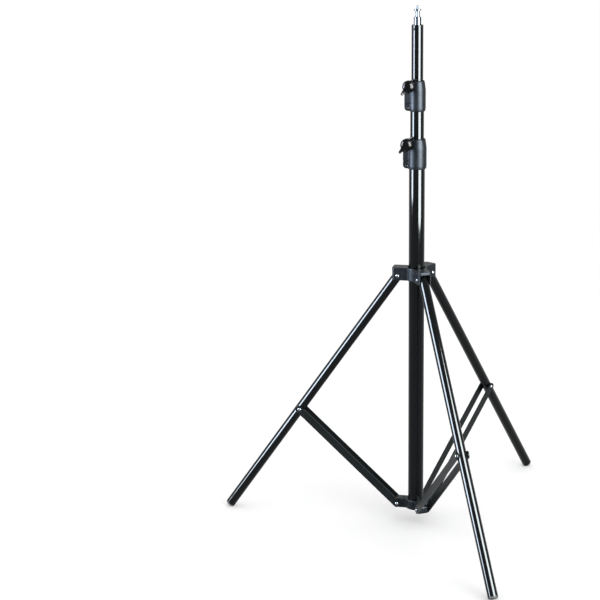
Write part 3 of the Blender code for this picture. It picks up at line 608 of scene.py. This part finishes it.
def makeSpigot():
    s = spigotSettings
    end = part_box("top_tube")[1].z
    body = end + s["body"]
    neck = body + s["slope"]
    neckTop = neck + s["neck"]
    lip = neckTop + s["slope"]
    top = lip + s["lip"]
    root = s["studRadius"] - s["threadDepth"]
    tip = top + s["stud"]
    spigot = turnPiece("spigot_chromed", [
        (0, end - s["seat"]), (s["radius"], end - s["seat"]), (s["radius"], body),
        (s["neckRadius"], neck), (s["neckRadius"], neckTop), (s["radius"], lip), (s["radius"], top),
        (s["studRadius"] + s["studFlare"], top), (root, top + s["flareRise"]),
        (root, tip - s["tipChamfer"]), (root - s["tipChamfer"], tip), (0, tip)])
    softenEdges(spigot, s["edge"], 3, 30)
    cutPiece(spigot, pinBore())
    thread = threadRidge("stud_thread", root + s["threadLift"], s["pitch"], top + s["threadStart"],
                         tip - s["threadEnd"], s["threadDepth"] * s["threadFill"])
    mergeIn(spigot, thread)
    placePiece(spigot, columnAxis)
    finishPiece(spigot, "top_section", "chrome", chromePlate("polishedChrome", columnAxis),
                "spigot")


def makeSpigotPin():
    s = spigotSettings
    half = tubeSettings["topRadius"] + s["gap"]
    end = half + s["pinHeadHeight"]
    shape = [(s["pinRadius"], half), (s["pinHead"], half), (s["pinHead"] * 0.9, half + s["pinRim"]),
             (s["pinHead"] * 0.6, end), (0, end)]
    pin = turnPiece("spigot_pin_headed", [(r, -z) for r, z in reversed(shape)] + shape, 40)
    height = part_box("top_tube")[1].z - tubeSettings["pinDrop"]
    place = Matrix.Translation((columnX, columnY, height))
    home = place @ turnedTo(z=tubeSettings["pinTurn"]) @ alongX
    placePiece(pin, home)
    finishPiece(pin, "top_section", "zinc", blackOxide("pinOxide", home), "spigot_pin")


def makeSpigotSleeve():
    s = spigotSettings
    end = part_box("top_tube")[1].z
    outer = tubeSettings["topRadius"] - tubeSettings["wall"] - s["gap"]
    sleeve = ringPiece("spigot_sleeve_turned", s["radius"] + s["gap"], outer, end - s["seat"],
                       end - s["sleeveSink"])
    softenEdges(sleeve, s["sleeveEdge"])
    cutPiece(sleeve, pinBore())
    placePiece(sleeve, columnAxis)
    finishPiece(sleeve, "top_section", "nylon", plainNylon("sleeveNylon", columnAxis),
                "spigot_sleeve")


makeSpigot()
makeSpigotPin()
makeSpigotSleeve()
print("spigot done")


# Split collars. In a collar's own frame the lug points along +X and the knob along +Y

collarSettings = {
    "wall": 3.3 * mm, "gap": 0.3 * mm, "seat": 30.0 * mm, "shoulder": 46.0 * mm,
    "lipHeight": 4.5 * mm, "lipWall": 1.5 * mm, "lipEdge": 1.0 * mm, "neckWall": 1.9 * mm,
    "skirtEdge": 1.5 * mm, "skirtTaper": 0.6 * mm, "skirtHeight": 6.0 * mm,
    "lugHalf": 10.0 * mm, "lugRound": 8.0 * mm, "lugMargin": 1.5 * mm, "lugWall": 5.2 * mm,
    "lugRoot": 1.0 * mm, "lugOverlap": 0.8 * mm, "lobeEdge": 1.1 * mm,
    "slit": 2.4 * mm, "slotHeight": 16.5 * mm, "slot": 1.6 * mm,
    "boltHeight": 7.0 * mm, "boltRadius": 2.0 * mm, "bossRadius": 6.9 * mm, "boss": 1.6 * mm,
    "knobHeight": 56.0 * mm, "screwRadius": 3.0 * mm, "nutPocket": 3.0 * mm,
    "bushEdge": 0.3 * mm, "voxel": 0.45 * mm, "smoothing": 4,
}
collars = {
    "lower": {"outer": 17.5 * mm, "inner": 15.0 * mm, "heading": 156.0, "body": "base",
              "knobBody": "lower_clamp_knob"},
    "upper": {"outer": 15.0 * mm, "inner": 12.7 * mm, "heading": 160.0, "body": "middle_section",
              "knobBody": "upper_clamp_knob"},
}


def crossRod(name, radius, x, z, half):
    rod = rodPiece(name, radius, -half, half, 40)
    return placePiece(rod, Matrix.Translation((x, 0, z)) @ alongY)


def hexTool(name, flats, low, high):
    # flats is the width across two opposite sides
    tool = rodPiece(name, flats / math.sqrt(3), low, high, 6)
    return placePiece(tool, turnedTo(z=30))


def makeCollarBody(prefix, home, height):
    s = collarSettings
    c = collars[prefix]
    seatBore = c["outer"] + s["gap"]
    barrel = seatBore + s["wall"]
    bushBore = c["outer"] - s["gap"]
    bushInner = c["inner"] + s["gap"]
    lip = bushInner + s["lipWall"]
    lipLow = height - s["lipHeight"]
    screwX = seatBore + s["lugRoot"] + s["screwRadius"]
    reach = screwX + s["screwRadius"] + s["gap"] + s["lugWall"]
    step = s["seat"] + s["gap"]
    collar = turnPiece(prefix + "_collar_moulded", [
        (seatBore, 0), (barrel - s["skirtEdge"], 0), (barrel - s["skirtTaper"], s["skirtEdge"]),
        (barrel, s["skirtHeight"]), (barrel, s["shoulder"]), (bushBore + s["neckWall"], lipLow),
        (lip + s["lipEdge"], height - s["lipEdge"]), (lip, height), (bushInner, height),
        (bushInner, lipLow), (bushBore, lipLow), (bushBore, step), (seatBore, step), (seatBore, 0)])
    barrelSlit = s["slit"] * 0.45  # Half its width, so that the lug's own slit is a little wider
    cutPiece(collar, blockPiece("slit", (c["inner"] / 2, -barrelSlit, -mm),
                                (barrel + mm, barrelSlit, height + mm)))

    # The lug is four lobes, parted by the clamp slit and by a cross slot, each with its own holes
    slotTop = s["slotHeight"] + s["slot"]
    seatCore = seatBore + s["lugOverlap"]
    bushCore = bushBore + s["lugOverlap"]
    lipCore = bushInner + s["lugOverlap"]
    for sign in (-1, 1):
        near, far = sorted((sign * s["slit"] / 2, sign * s["lugHalf"]))
        lobeLow = blockPiece("lobe", (0, near, s["lugMargin"]), (reach, far, s["slotHeight"]))
        lobeHigh = blockPiece("lobe", (0, near, slotTop), (reach, far, height - s["lugMargin"]))
        roundEdges(lobeLow, lambda middle, along: abs(along.y) > 0.9 and middle.x > reach / 2
                   and middle.z < s["lugRound"], s["lugRound"], 8)
        roundEdges(lobeHigh, lambda middle, along: abs(along.y) > 0.9 and middle.x > reach / 2
                   and middle.z > slotTop + mm, s["lugRound"], 8)
        near, far = sorted((sign * s["slit"] / 2, sign * (s["lugHalf"] + s["boss"])))
        boss = placePiece(rodPiece("boss", s["bossRadius"], near, far), alongY)
        placePiece(boss, Matrix.Translation((screwX, 0, s["knobHeight"])))
        for part, radius, z in ((lobeLow, s["boltRadius"], s["boltHeight"]),
                                (lobeHigh, s["screwRadius"], s["knobHeight"]),
                                (boss, s["screwRadius"], s["knobHeight"])):
            softenEdges(part, s["lobeEdge"], 3)
            core = turnPiece("core", [
                (0, -mm), (seatCore, -mm), (seatCore, step), (bushCore, step + mm),
                (bushCore, lipLow - mm), (lipCore, lipLow), (lipCore, height + mm),
                (0, height + mm)])
            cutPiece(part, core, crossRod("hole", radius + s["gap"], screwX, z, 2 * s["lugHalf"]))
            if sign < 0:
                flats = nutSettings["boltFlats"] if part is lobeLow else nutSettings["screwFlats"]
                face = s["lugHalf"] if part is lobeLow else s["lugHalf"] + s["boss"]
                pocket = hexTool("nutPocket", flats + 2 * s["gap"], -face - mm,
                                 -face + s["nutPocket"])
                cutPiece(part, placePiece(pocket, Matrix.Translation((screwX, 0, z)) @ alongY))
        mergeIn(collar, lobeLow, lobeHigh, boss)
    mouldPiece(collar, s["voxel"], s["smoothing"])
    placePiece(collar, home)
    finishPiece(collar, c["body"], "moulding", mouldedNylon(prefix + "_collarNylon", home),
                prefix + "_collar")
    return screwX


def makeCollarBush(prefix, home, height):
    s = collarSettings
    c = collars[prefix]
    low = s["seat"] + 2 * s["gap"]
    high = height - s["lipHeight"] - s["gap"]
    bush = ringPiece(prefix + "_bush_split", c["inner"] + s["gap"], c["outer"] - 2 * s["gap"],
                     low, high)
    softenEdges(bush, s["bushEdge"])
    slit = blockPiece("slit", (0, -s["slit"] / 2, low - mm),
                      (2 * c["outer"], s["slit"] / 2, high + mm))
    placePiece(cutPiece(bush, slit), home)
    finishPiece(bush, c["body"], "nylon", plainNylon(prefix + "_bushNylon", home),
                prefix + "_collar_bush")


# Nuts, bolts and clamp screws. Each is modelled once, along its own Z

nutSettings = {
    "boltFlats": 7.0 * mm, "boltHeight": 3.0 * mm, "screwFlats": 10.0 * mm, "screwHeight": 5.0 * mm,
    "face": 0.52, "corner": 0.6, "chamfer": 0.6 * mm, "edge": 0.12 * mm,
}
# past is how far an end shows beyond its nut
boltSettings = {
    "head": 3.2 * mm, "headHeight": 1.8 * mm, "chamfer": 0.4 * mm, "past": 1.0 * mm,
    "dome": ((1.0, 0.5 * mm), (0.93, 1.0 * mm), (0.72, 1.45 * mm)), "crown": 0.4,
    "socket": 2.0 * mm, "socketDepth": 1.1 * mm,
}
screwSettings = {
    "threadDepth": 0.35 * mm, "ridge": 0.27 * mm, "ridgeLift": 0.1 * mm, "pitch": 1.0 * mm,
    "threadStart": 0.9 * mm, "threadEnd": 11.9 * mm, "chamfer": 0.6 * mm, "past": 2.0 * mm,
    "seat": 12.0 * mm,
}


def modelNut(flats, bore, height):
    # The crown takes the sharp corners off both faces
    s = nutSettings
    face, corner = flats * s["face"], flats * s["corner"]
    nut = hexTool("nut", flats, 0, height)
    crown = turnPiece("crown", [(0, 0), (face, 0), (corner, s["chamfer"]),
                                (corner, height - s["chamfer"]), (face, height), (0, height)], 48)
    combine(nut, [crown], "INTERSECT")
    cutPiece(nut, rodPiece("nutBore", bore, -mm, height + mm, 40))
    return softenEdges(nut, s["edge"], 2, 25)


def boltNutHeight():
    # The outer face of the bolt's nut, sunk in its pocket, along the bolt
    c = collarSettings
    return -c["lugHalf"] + c["nutPocket"] - c["gap"] - nutSettings["boltHeight"]


def modelBolt():
    s = boltSettings
    radius = collarSettings["boltRadius"]
    face = collarSettings["lugHalf"] + collarSettings["gap"]
    top = face + s["headHeight"]
    tail = boltNutHeight() - s["past"]
    head = s["head"]
    dome = [(head * share, face + rise) for share, rise in s["dome"]]
    bolt = turnPiece("bolt", [
        (0, tail), (radius - s["chamfer"], tail), (radius, tail + s["chamfer"]), (radius, face),
        (head, face)] + dome + [(head * s["crown"], top), (0, top)], 48)
    return cutPiece(bolt, hexTool("socket", s["socket"], top - s["socketDepth"], top + mm))


def modelKnobScrew():
    s = screwSettings
    c = collarSettings
    nutOuter = c["boss"] - c["nutPocket"] + c["gap"] + nutSettings["screwHeight"]
    tail = 2 * c["lugHalf"] + c["boss"] + c["gap"] + nutOuter + s["past"]
    root = c["screwRadius"] - s["threadDepth"]
    screw = turnPiece("screw", [
        (0, -tail), (root - s["chamfer"], -tail), (root, -tail + s["chamfer"]), (root, s["seat"]),
        (0, s["seat"])], 40)
    return mergeIn(screw, threadRidge("clamp_thread", root + s["ridgeLift"], s["pitch"],
                                      -tail + s["threadStart"], -tail + s["threadEnd"], s["ridge"]))


# Wing knobs. In a knob's own frame the screw runs along Z and the wings along X

knobSettings = {
    "neckRadius": 5.6 * mm, "radius": 13.5 * mm, "neck": 7.5 * mm, "depth": 20.0 * mm,
    "chamfer": 1.0 * mm, "side": 0.62, "dome": 0.38, "span": 47.0 * mm, "root": 11.0 * mm,
    "tip": 5.0 * mm, "wingDepth": 7.0 * mm, "waist": 0.45, "thinning": 0.96, "sweep": 5.0 * mm,
    "turn": 48.0, "edge": 1.7 * mm, "voxel": 0.32 * mm, "smoothing": 5,
}


def makeWing(turn):
    # The wing narrows and lifts in steps, from its waist to its tip
    s = knobSettings
    half = s["span"] / 2
    waist = s["waist"] * half
    wing = blockPiece("wing", (0, -s["root"] / 2, s["neck"]),
                      (waist, s["root"] / 2, s["neck"] + s["wingDepth"]))
    steps = 4
    taper = (s["tip"] / s["root"]) ** (1 / steps)
    for step in range(steps):
        selectParts(wing, faces=lambda centre, normal: normal.x > 0.7)
        near = waist + (half - waist) * step / steps
        far = waist + (half - waist) * (step + 1) / steps
        rise = s["sweep"] * ((far / half) ** 2 - (near / half) ** 2)
        bpy.ops.mesh.extrude_region_move(TRANSFORM_OT_translate={"value": (far - near, 0, rise)})
        bpy.ops.transform.resize(value=(1, taper, s["thinning"]))
        bpy.ops.object.mode_set(mode="OBJECT")
    softenEdges(wing, s["edge"], 4, 50)
    return placePiece(wing, turnedTo(z=turn))


def modelKnob():
    s = knobSettings
    depth, radius, neck = s["depth"], s["radius"], s["neck"]
    gap = collarSettings["gap"]
    dome = []
    for angle in range(0, 90, 10):
        turn = math.radians(angle)
        rise = s["side"] * depth + s["dome"] * depth * math.sin(turn)
        dome.append((radius * math.cos(turn), rise))
    knob = turnPiece("knob", [
        (0, 0), (s["neckRadius"], 0), (s["neckRadius"], neck - s["chamfer"]),
        (radius - s["chamfer"], neck), (radius, neck + s["chamfer"])] + dome + [(0, depth)], 64)
    joinPiece(knob, makeWing(0), makeWing(180))
    cutPiece(knob, rodPiece("screwBore", collarSettings["screwRadius"] + gap, -mm,
                            screwSettings["seat"] + gap))
    return mouldPiece(knob, s["voxel"], s["smoothing"])


def modelHardware():
    s = collarSettings
    n = nutSettings
    return {"bolt": modelBolt(), "screw": modelKnobScrew(), "knob": modelKnob(),
            "boltNut": modelNut(n["boltFlats"], s["boltRadius"] + s["gap"], n["boltHeight"]),
            "screwNut": modelNut(n["screwFlats"], s["screwRadius"] + s["gap"], n["screwHeight"])}


def dressCollar(prefix, hardware):
    s = collarSettings
    low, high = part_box(prefix + "_collar")
    height = high.z - low.z
    body = collars[prefix]["body"]
    knobBody = collars[prefix]["knobBody"]
    home = columnAxis @ Matrix.Translation((0, 0, low.z)) @ turnedTo(z=collars[prefix]["heading"])
    screwX = makeCollarBody(prefix, home, height)
    makeCollarBush(prefix, home, height)
    boltHome = home @ Matrix.Translation((screwX, 0, s["boltHeight"])) @ alongY
    screwHome = home @ Matrix.Translation((screwX, 0, s["knobHeight"])) @ alongY
    boltNut = boltNutHeight()
    screwNut = boltNut + nutSettings["boltHeight"] - s["boss"] - nutSettings["screwHeight"]
    knobBase = s["lugHalf"] + s["boss"] + s["gap"]
    knobHome = screwHome @ Matrix.Translation((0, 0, knobBase)) @ turnedTo(z=knobSettings["turn"])
    fittings = (
        ("bolt", "_bolt_headed", "_collar_bolt", body, "zinc", blackOxide, boltHome),
        ("boltNut", "_bolt_nut_faced", "_collar_nut", body, "zinc", zincPlate,
         boltHome @ Matrix.Translation((0, 0, boltNut))),
        ("screwNut", "_screw_nut_faced", "_knob_nut", body, "zinc", zincPlate,
         screwHome @ Matrix.Translation((0, 0, screwNut))),
        ("knob", "_knob_moulded", "_knob", knobBody, "knob", polishedAbs, knobHome),
        ("screw", "_screw_threaded", "_knob_screw", knobBody, "zinc", zincPlate, knobHome),
    )
    for part, name, node, rides, slotName, finish, place in fittings:
        piece = placePiece(copyPiece(hardware[part], prefix + name), place)
        finishPiece(piece, rides, slotName, finish(prefix + name + "_finish", place), prefix + node)


hardware = modelHardware()
for prefix in collars:
    dressCollar(prefix, hardware)
removeMasters(*hardware.values())
print("collars and knobs done")


# Rivets

rivetSettings = {"radius": 3.0 * mm, "head": 4.2 * mm, "headHeight": 2.0 * mm, "rim": 0.15,
                 "dome": 0.85, "steps": 40}


def rivetHead(face):
    # A domed head that stands on a face at that height
    s = rivetSettings
    shape = [(s["head"], face), (s["head"], face + s["rim"] * s["headHeight"])]
    for angle in range(15, 90, 15):
        turn = math.radians(angle)
        rise = s["headHeight"] * (s["rim"] + s["dome"] * math.sin(turn))
        shape.append((s["head"] * math.cos(turn), face + rise))
    return shape + [(0, face + s["headHeight"])]


def modelThroughRivet(half):
    # Along Z, with a head at each end
    upper = [(rivetSettings["radius"], half)] + rivetHead(half)
    return turnPiece("rivet", [(r, -z) for r, z in reversed(upper)] + upper, rivetSettings["steps"])


def placeRivet(master, name, home, body, node):
    place = home @ alongY
    rivet = placePiece(copyPiece(master, name), place)
    finishPiece(rivet, body, "zinc", zincPlate(name + "_zinc", place), node)


# Upper hub, with the leg pivots at height 0

upperHubSettings = {
    "top": 18.7 * mm, "plate": 7.0 * mm, "drop": 10.4 * mm, "reach": 53.5 * mm,
    "earInner": 11.6 * mm, "ear": 3.5 * mm, "bushWall": 2.0 * mm, "barrelWall": 3.7 * mm,
    "barrelEdge": 1.2 * mm, "armRound": 5.8 * mm, "armEdge": 1.3 * mm, "bushRecess": 3.5 * mm,
    "bushEdge": 0.35 * mm, "lip": 2.0 * mm, "run": 0.3 * mm, "voxel": 0.55 * mm, "smoothing": 3,
}
legHeadings = {"front": -90.0, "left": 150.0, "right": 30.0}


def makeUpperHub():
    s = upperHubSettings
    pivot = joints["front_leg_hinge"]["pos_m"]
    pivotRadius = columnY - pivot[1]
    columnRadius = tubeSettings["columnRadius"]
    bore = columnRadius + s["run"] + s["bushWall"]
    barrel = bore + s["barrelWall"]
    outer = s["earInner"] + s["ear"]
    hub = turnPiece("upper_hub_moulded", [(0, -s["drop"]), (barrel, -s["drop"]), (barrel, s["top"]),
                                          (0, s["top"])])
    softenEdges(hub, s["barrelEdge"], 3)
    for heading in legHeadings.values():
        arm = blockPiece("arm", (-outer, -outer, -s["drop"]), (s["reach"], outer, s["top"]))
        roundEdges(arm, lambda middle, along: abs(along.z) > 0.9 and middle.x > 0,
                   s["armRound"], 6)
        softenEdges(arm, s["armEdge"], 3)
        joinPiece(hub, placePiece(arm, turnedTo(z=heading)))
    # A pocket under the top plate leaves a pair of ears on each arm, with the rivet's hole in them
    plateLow = s["top"] - s["plate"]
    for heading in legHeadings.values():
        pocket = blockPiece("pocket", (barrel + mm, -s["earInner"], -2 * s["drop"]),
                            (2 * s["reach"], s["earInner"], plateLow))
        hole = crossRod("hole", rivetSettings["radius"] + s["run"], pivotRadius, 0, 2 * outer)
        cutPiece(hub, *[placePiece(tool, turnedTo(z=heading)) for tool in (pocket, hole)])
    lipBore = columnRadius + 2 * s["run"]
    lipTop = -s["drop"] + s["lip"]
    cutPiece(hub, turnPiece("hubBore", [
        (0, -s["drop"] - mm), (lipBore, -s["drop"] - mm), (lipBore, lipTop), (bore, lipTop),
        (bore, s["top"] + mm), (0, s["top"] + mm)]))
    mouldPiece(hub, s["voxel"], s["smoothing"])
    home = columnAxis @ Matrix.Translation((0, 0, pivot[2]))
    placePiece(hub, home)
    finishPiece(hub, "leg_hub", "moulding", mouldedNylon("upperHubNylon", home), "upper_hub")

    bush = ringPiece("upper_hub_bush_turned", columnRadius + s["run"], bore - s["run"],
                     lipTop + s["run"], s["top"] - s["bushRecess"])
    softenEdges(bush, s["bushEdge"])
    placePiece(bush, home)
    finishPiece(bush, "leg_hub", "nylon", plainNylon("hubBushNylon", home), "upper_hub_bush")

    rivet = modelThroughRivet(outer + s["run"])
    for side, heading in legHeadings.items():
        pin = home @ turnedTo(z=heading) @ Matrix.Translation((pivotRadius, 0, 0))
        placeRivet(rivet, side + "_leg_rivet_domed", pin, "leg_hub", side + "_leg_rivet")
    removeMasters(rivet)


makeUpperHub()
print("upper hub done")


# Lower hub, with the brace pivots at height 0

lowerHubSettings = {
    "top": 12.4 * mm, "drop": 9.5 * mm, "reach": 50.0 * mm, "wall": 5.5 * mm, "floor": 2.8 * mm,
    "barrelEdge": 1.2 * mm, "lugHalf": 11.3 * mm, "lugRound": 7.7 * mm, "lugEdge": 1.0 * mm,
    "gap": 0.3 * mm, "pocketDepth": 1.6 * mm, "pocketLength": 6.0 * mm, "pocketMargin": 4.0 * mm,
    "pegRadius": 1.6 * mm, "peg": 2.2 * mm, "pegReach": 27.5 * mm, "pegEdge": 0.5 * mm,
    "grub": 2.0 * mm, "grubSink": 0.5 * mm, "grubEdge": 0.2 * mm, "grubSocket": 2.0 * mm,
    "grubSocketDepth": 2.2 * mm, "voxel": 0.5 * mm, "smoothing": 3,
}


def makeLowerHub():
    s = lowerHubSettings
    pivot = joints["front_brace_hinge"]["pos_m"]
    pivotRadius = columnY - pivot[1]
    socket = tubeSettings["columnRadius"] + s["gap"]
    outer = socket + s["wall"]
    hub = turnPiece("lower_hub_moulded", [(0, -s["drop"]), (outer, -s["drop"]), (outer, s["top"]),
                                          (0, s["top"])])
    softenEdges(hub, s["barrelEdge"], 3)
    for heading in legHeadings.values():
        lug = blockPiece("lug", (0, -s["lugHalf"], -s["drop"]),
                         (s["reach"], s["lugHalf"], s["top"]))
        roundEdges(lug, lambda middle, along: abs(along.y) > 0.9 and middle.x > mm,
                   s["lugRound"], 8)
        softenEdges(lug, s["lugEdge"], 3)
        joinPiece(hub, placePiece(lug, turnedTo(z=heading)))
    peg = rodPiece("peg", s["pegRadius"], 0, s["top"] + s["peg"])
    softenEdges(peg, s["pegEdge"])
    pegPlace = turnedTo(z=legHeadings["left"]) @ Matrix.Translation((s["pegReach"], 0, 0))
    joinPiece(hub, placePiece(peg, pegPlace))
    # Each lug has its rivet's hole and a shallow pocket in either side
    pocketLow = -s["drop"] + s["pocketMargin"]
    pocketHigh = s["top"] - s["pocketMargin"]
    hole = rivetSettings["radius"] + s["gap"]
    for heading in legHeadings.values():
        tools = [crossRod("hole", hole, pivotRadius, 0, 2 * s["lugHalf"])]
        for sign in (-1, 1):
            near, far = sorted((sign * 2 * s["lugHalf"], sign * (s["lugHalf"] - s["pocketDepth"])))
            tools.append(blockPiece("pocket", (outer + mm, near, pocketLow),
                                    (outer + mm + s["pocketLength"], far, pocketHigh)))
        cutPiece(hub, *[placePiece(tool, turnedTo(z=heading)) for tool in tools])
    grub = placePiece(rodPiece("grubHole", s["grub"] + s["gap"], 0, 2 * outer, 40), alongY)
    cutPiece(hub, rodPiece("socket", socket, -s["drop"] + s["floor"], s["top"] + mm, 96), grub)
    mouldPiece(hub, s["voxel"], s["smoothing"])
    home = columnAxis @ Matrix.Translation((0, 0, pivot[2]))
    placePiece(hub, home)
    finishPiece(hub, "base", "moulding", mouldedNylon("lowerHubNylon", home), "lower_hub")

    screw = rodPiece("grub_screw_socketed", s["grub"], socket, outer - s["grubSink"], 40)
    softenEdges(screw, s["grubEdge"])
    cutPiece(screw, hexTool("socket", s["grubSocket"], outer - s["grubSocketDepth"], outer + mm))
    grubHome = home @ alongY
    placePiece(screw, grubHome)
    finishPiece(screw, "base", "zinc", zincPlate("grubZinc", grubHome), "lower_hub_grub_screw")


makeLowerHub()
print("lower hub done")


# Legs. In a leg's own frame the pivot is at the origin and the leg hangs along -Z

legSettings = {"radius": 11.0 * mm, "wall": 1.2 * mm, "length": 710.0 * mm, "angle": 34.8,
               "edge": 0.3 * mm, "topReach": 7.0 * mm, "cap": 2.2 * mm, "capEdge": 0.8 * mm,
               "footTip": 4.0 * mm, "footRound": 2.5 * mm, "footInset": 0.2 * mm, "plug": 22.0 * mm,
               "gap": 0.3 * mm}


def armFrame(joint, heading):
    return Matrix.Translation(joints[joint]["pos_m"]) @ turnedTo(z=heading)


def modelLeg():
    # Tube, cap and foot of one leg
    s = legSettings
    radius, top, curve = s["radius"], s["topReach"], s["footRound"]
    stem = radius - s["wall"] - s["gap"]
    hole = rivetSettings["radius"] + s["gap"]
    rim = top - s["cap"]
    end = -s["length"]
    tipTop = end + s["footTip"]
    tube = ringPiece("leg", radius - s["wall"], radius, tipTop + s["gap"], rim - s["gap"])
    softenEdges(tube, s["edge"])
    cutPiece(tube, crossRod("hole", hole, 0, 0, 2 * radius))

    cap = turnPiece("cap", [(0, top - s["plug"]), (stem, top - s["plug"]), (stem, rim),
                            (radius, rim), (radius, top), (0, top)])
    softenEdges(cap, s["capEdge"], 4)
    cutPiece(cap, crossRod("hole", hole, 0, 0, 2 * radius))

    footRadius = radius - s["footInset"]
    corner = footRadius - curve
    rounding = []
    for angle in range(-90, 1, 15):
        turn = math.radians(angle)
        rounding.append((corner + curve * math.cos(turn), end + curve * (1 + math.sin(turn))))
    foot = turnPiece("foot", [(0, end)] + rounding + [
        (footRadius, tipTop), (stem, tipTop), (stem, tipTop + s["plug"]), (0, tipTop + s["plug"])])
    return tube, cap, foot


def makeLegs():
    fittings = (("_leg_enamelled", "_leg", "tube", glossEnamel),
                ("_cap_moulded", "_leg_cap", "nylon", plainNylon),
                ("_foot_moulded", "_foot", "rubber", mouldedRubber))
    masters = modelLeg()
    for side, heading in legHeadings.items():
        home = armFrame(side + "_leg_hinge", heading) @ turnedTo(y=-legSettings["angle"])
        for master, (name, node, slotName, finish) in zip(masters, fittings):
            piece = placePiece(copyPiece(master, side + name), home)
            finishPiece(piece, side + "_leg_assembly", slotName,
                        finish(side + name + "_finish", home), side + node)
    removeMasters(*masters)


# Braces. In a brace's own frame the lower pivot is at the origin and the bars run along +Z

braceSettings = {"inner": 11.6 * mm, "thickness": 3.0 * mm, "width": 17.0 * mm, "edge": 0.45 * mm,
                 "reach": 402.0 * mm, "gap": 0.3 * mm}


def braceRun():
    # Length and lean of a brace, from where its rivet sits on an open leg
    hub = joints["front_leg_hinge"]["pos_m"]
    root = joints["front_brace_hinge"]["pos_m"]
    lean = math.radians(legSettings["angle"])
    out = root[1] - hub[1] + braceSettings["reach"] * math.sin(lean)
    rise = hub[2] - root[2] - braceSettings["reach"] * math.cos(lean)
    return math.hypot(out, rise), math.degrees(math.atan2(out, rise))


def modelBar(length):
    # The bar on the side of positive Y
    s = braceSettings
    half = s["width"] / 2
    outer = s["inner"] + s["thickness"]
    hole = rivetSettings["radius"] + s["gap"]
    bar = blockPiece("bar", (-half, s["inner"], -half), (half, outer, length + half))
    roundEdges(bar, lambda middle, along: abs(along.y) > 0.9, half * 0.998, 12)
    softenEdges(bar, s["edge"])
    return cutPiece(bar, crossRod("hole", hole, 0, 0, 2 * outer),
                    crossRod("hole", hole, 0, length, 2 * outer))


def makeBraces():
    s = braceSettings
    length, lean = braceRun()
    face = s["inner"] + s["thickness"] + s["gap"]
    bar = modelBar(length)
    head = turnPiece("head", [(0, s["inner"]), (rivetSettings["radius"], s["inner"]),
                              (rivetSettings["radius"], face)] + rivetHead(face),
                     rivetSettings["steps"])
    rivet = modelThroughRivet(face)
    for side, heading in legHeadings.items():
        hinge = armFrame(side + "_brace_hinge", heading)
        home = hinge @ turnedTo(y=lean)
        body = side + "_brace_pair"
        for label, sign, shift in (("a", -1, -s["inner"] * 2 - s["thickness"]), ("b", 1, 0)):
            node = side + "_brace_" + label
            piece = placePiece(copyPiece(bar, side + "_bar_" + label),
                               home @ Matrix.Translation((0, shift, 0)))
            finishPiece(piece, body, "brace", paintedStrip(node + "_stripPaint", home), node)
            place = home @ Matrix.Translation((0, 0, length)) @ turnedTo(x=-90 * sign)
            node = side + "_brace_head_" + label
            piece = placePiece(copyPiece(head, side + "_head_" + label), place)
            finishPiece(piece, body, "zinc", zincPlate(node + "_zinc", place), node)
        placeRivet(rivet, side + "_brace_rivet_domed", hinge, "base", side + "_brace_rivet")
    removeMasters(bar, head, rivet)


makeLegs()
makeBraces()
print("legs and braces done")


# Pieces inside the tubes keep their own shape and get their real finish

innerFinishes = {"column_end_plug": plainNylon, "middle_glide": plainNylon, "top_glide": plainNylon,
                 "column_buffer": mouldedRubber, "middle_buffer": mouldedRubber}
for node, finish in innerFinishes.items():
    piece = frame["nodes"][node]
    piece.data.materials.clear()
    piece.data.materials.append(finish(node + "_" + finish.__name__, columnAxis))
print("inner pieces done")
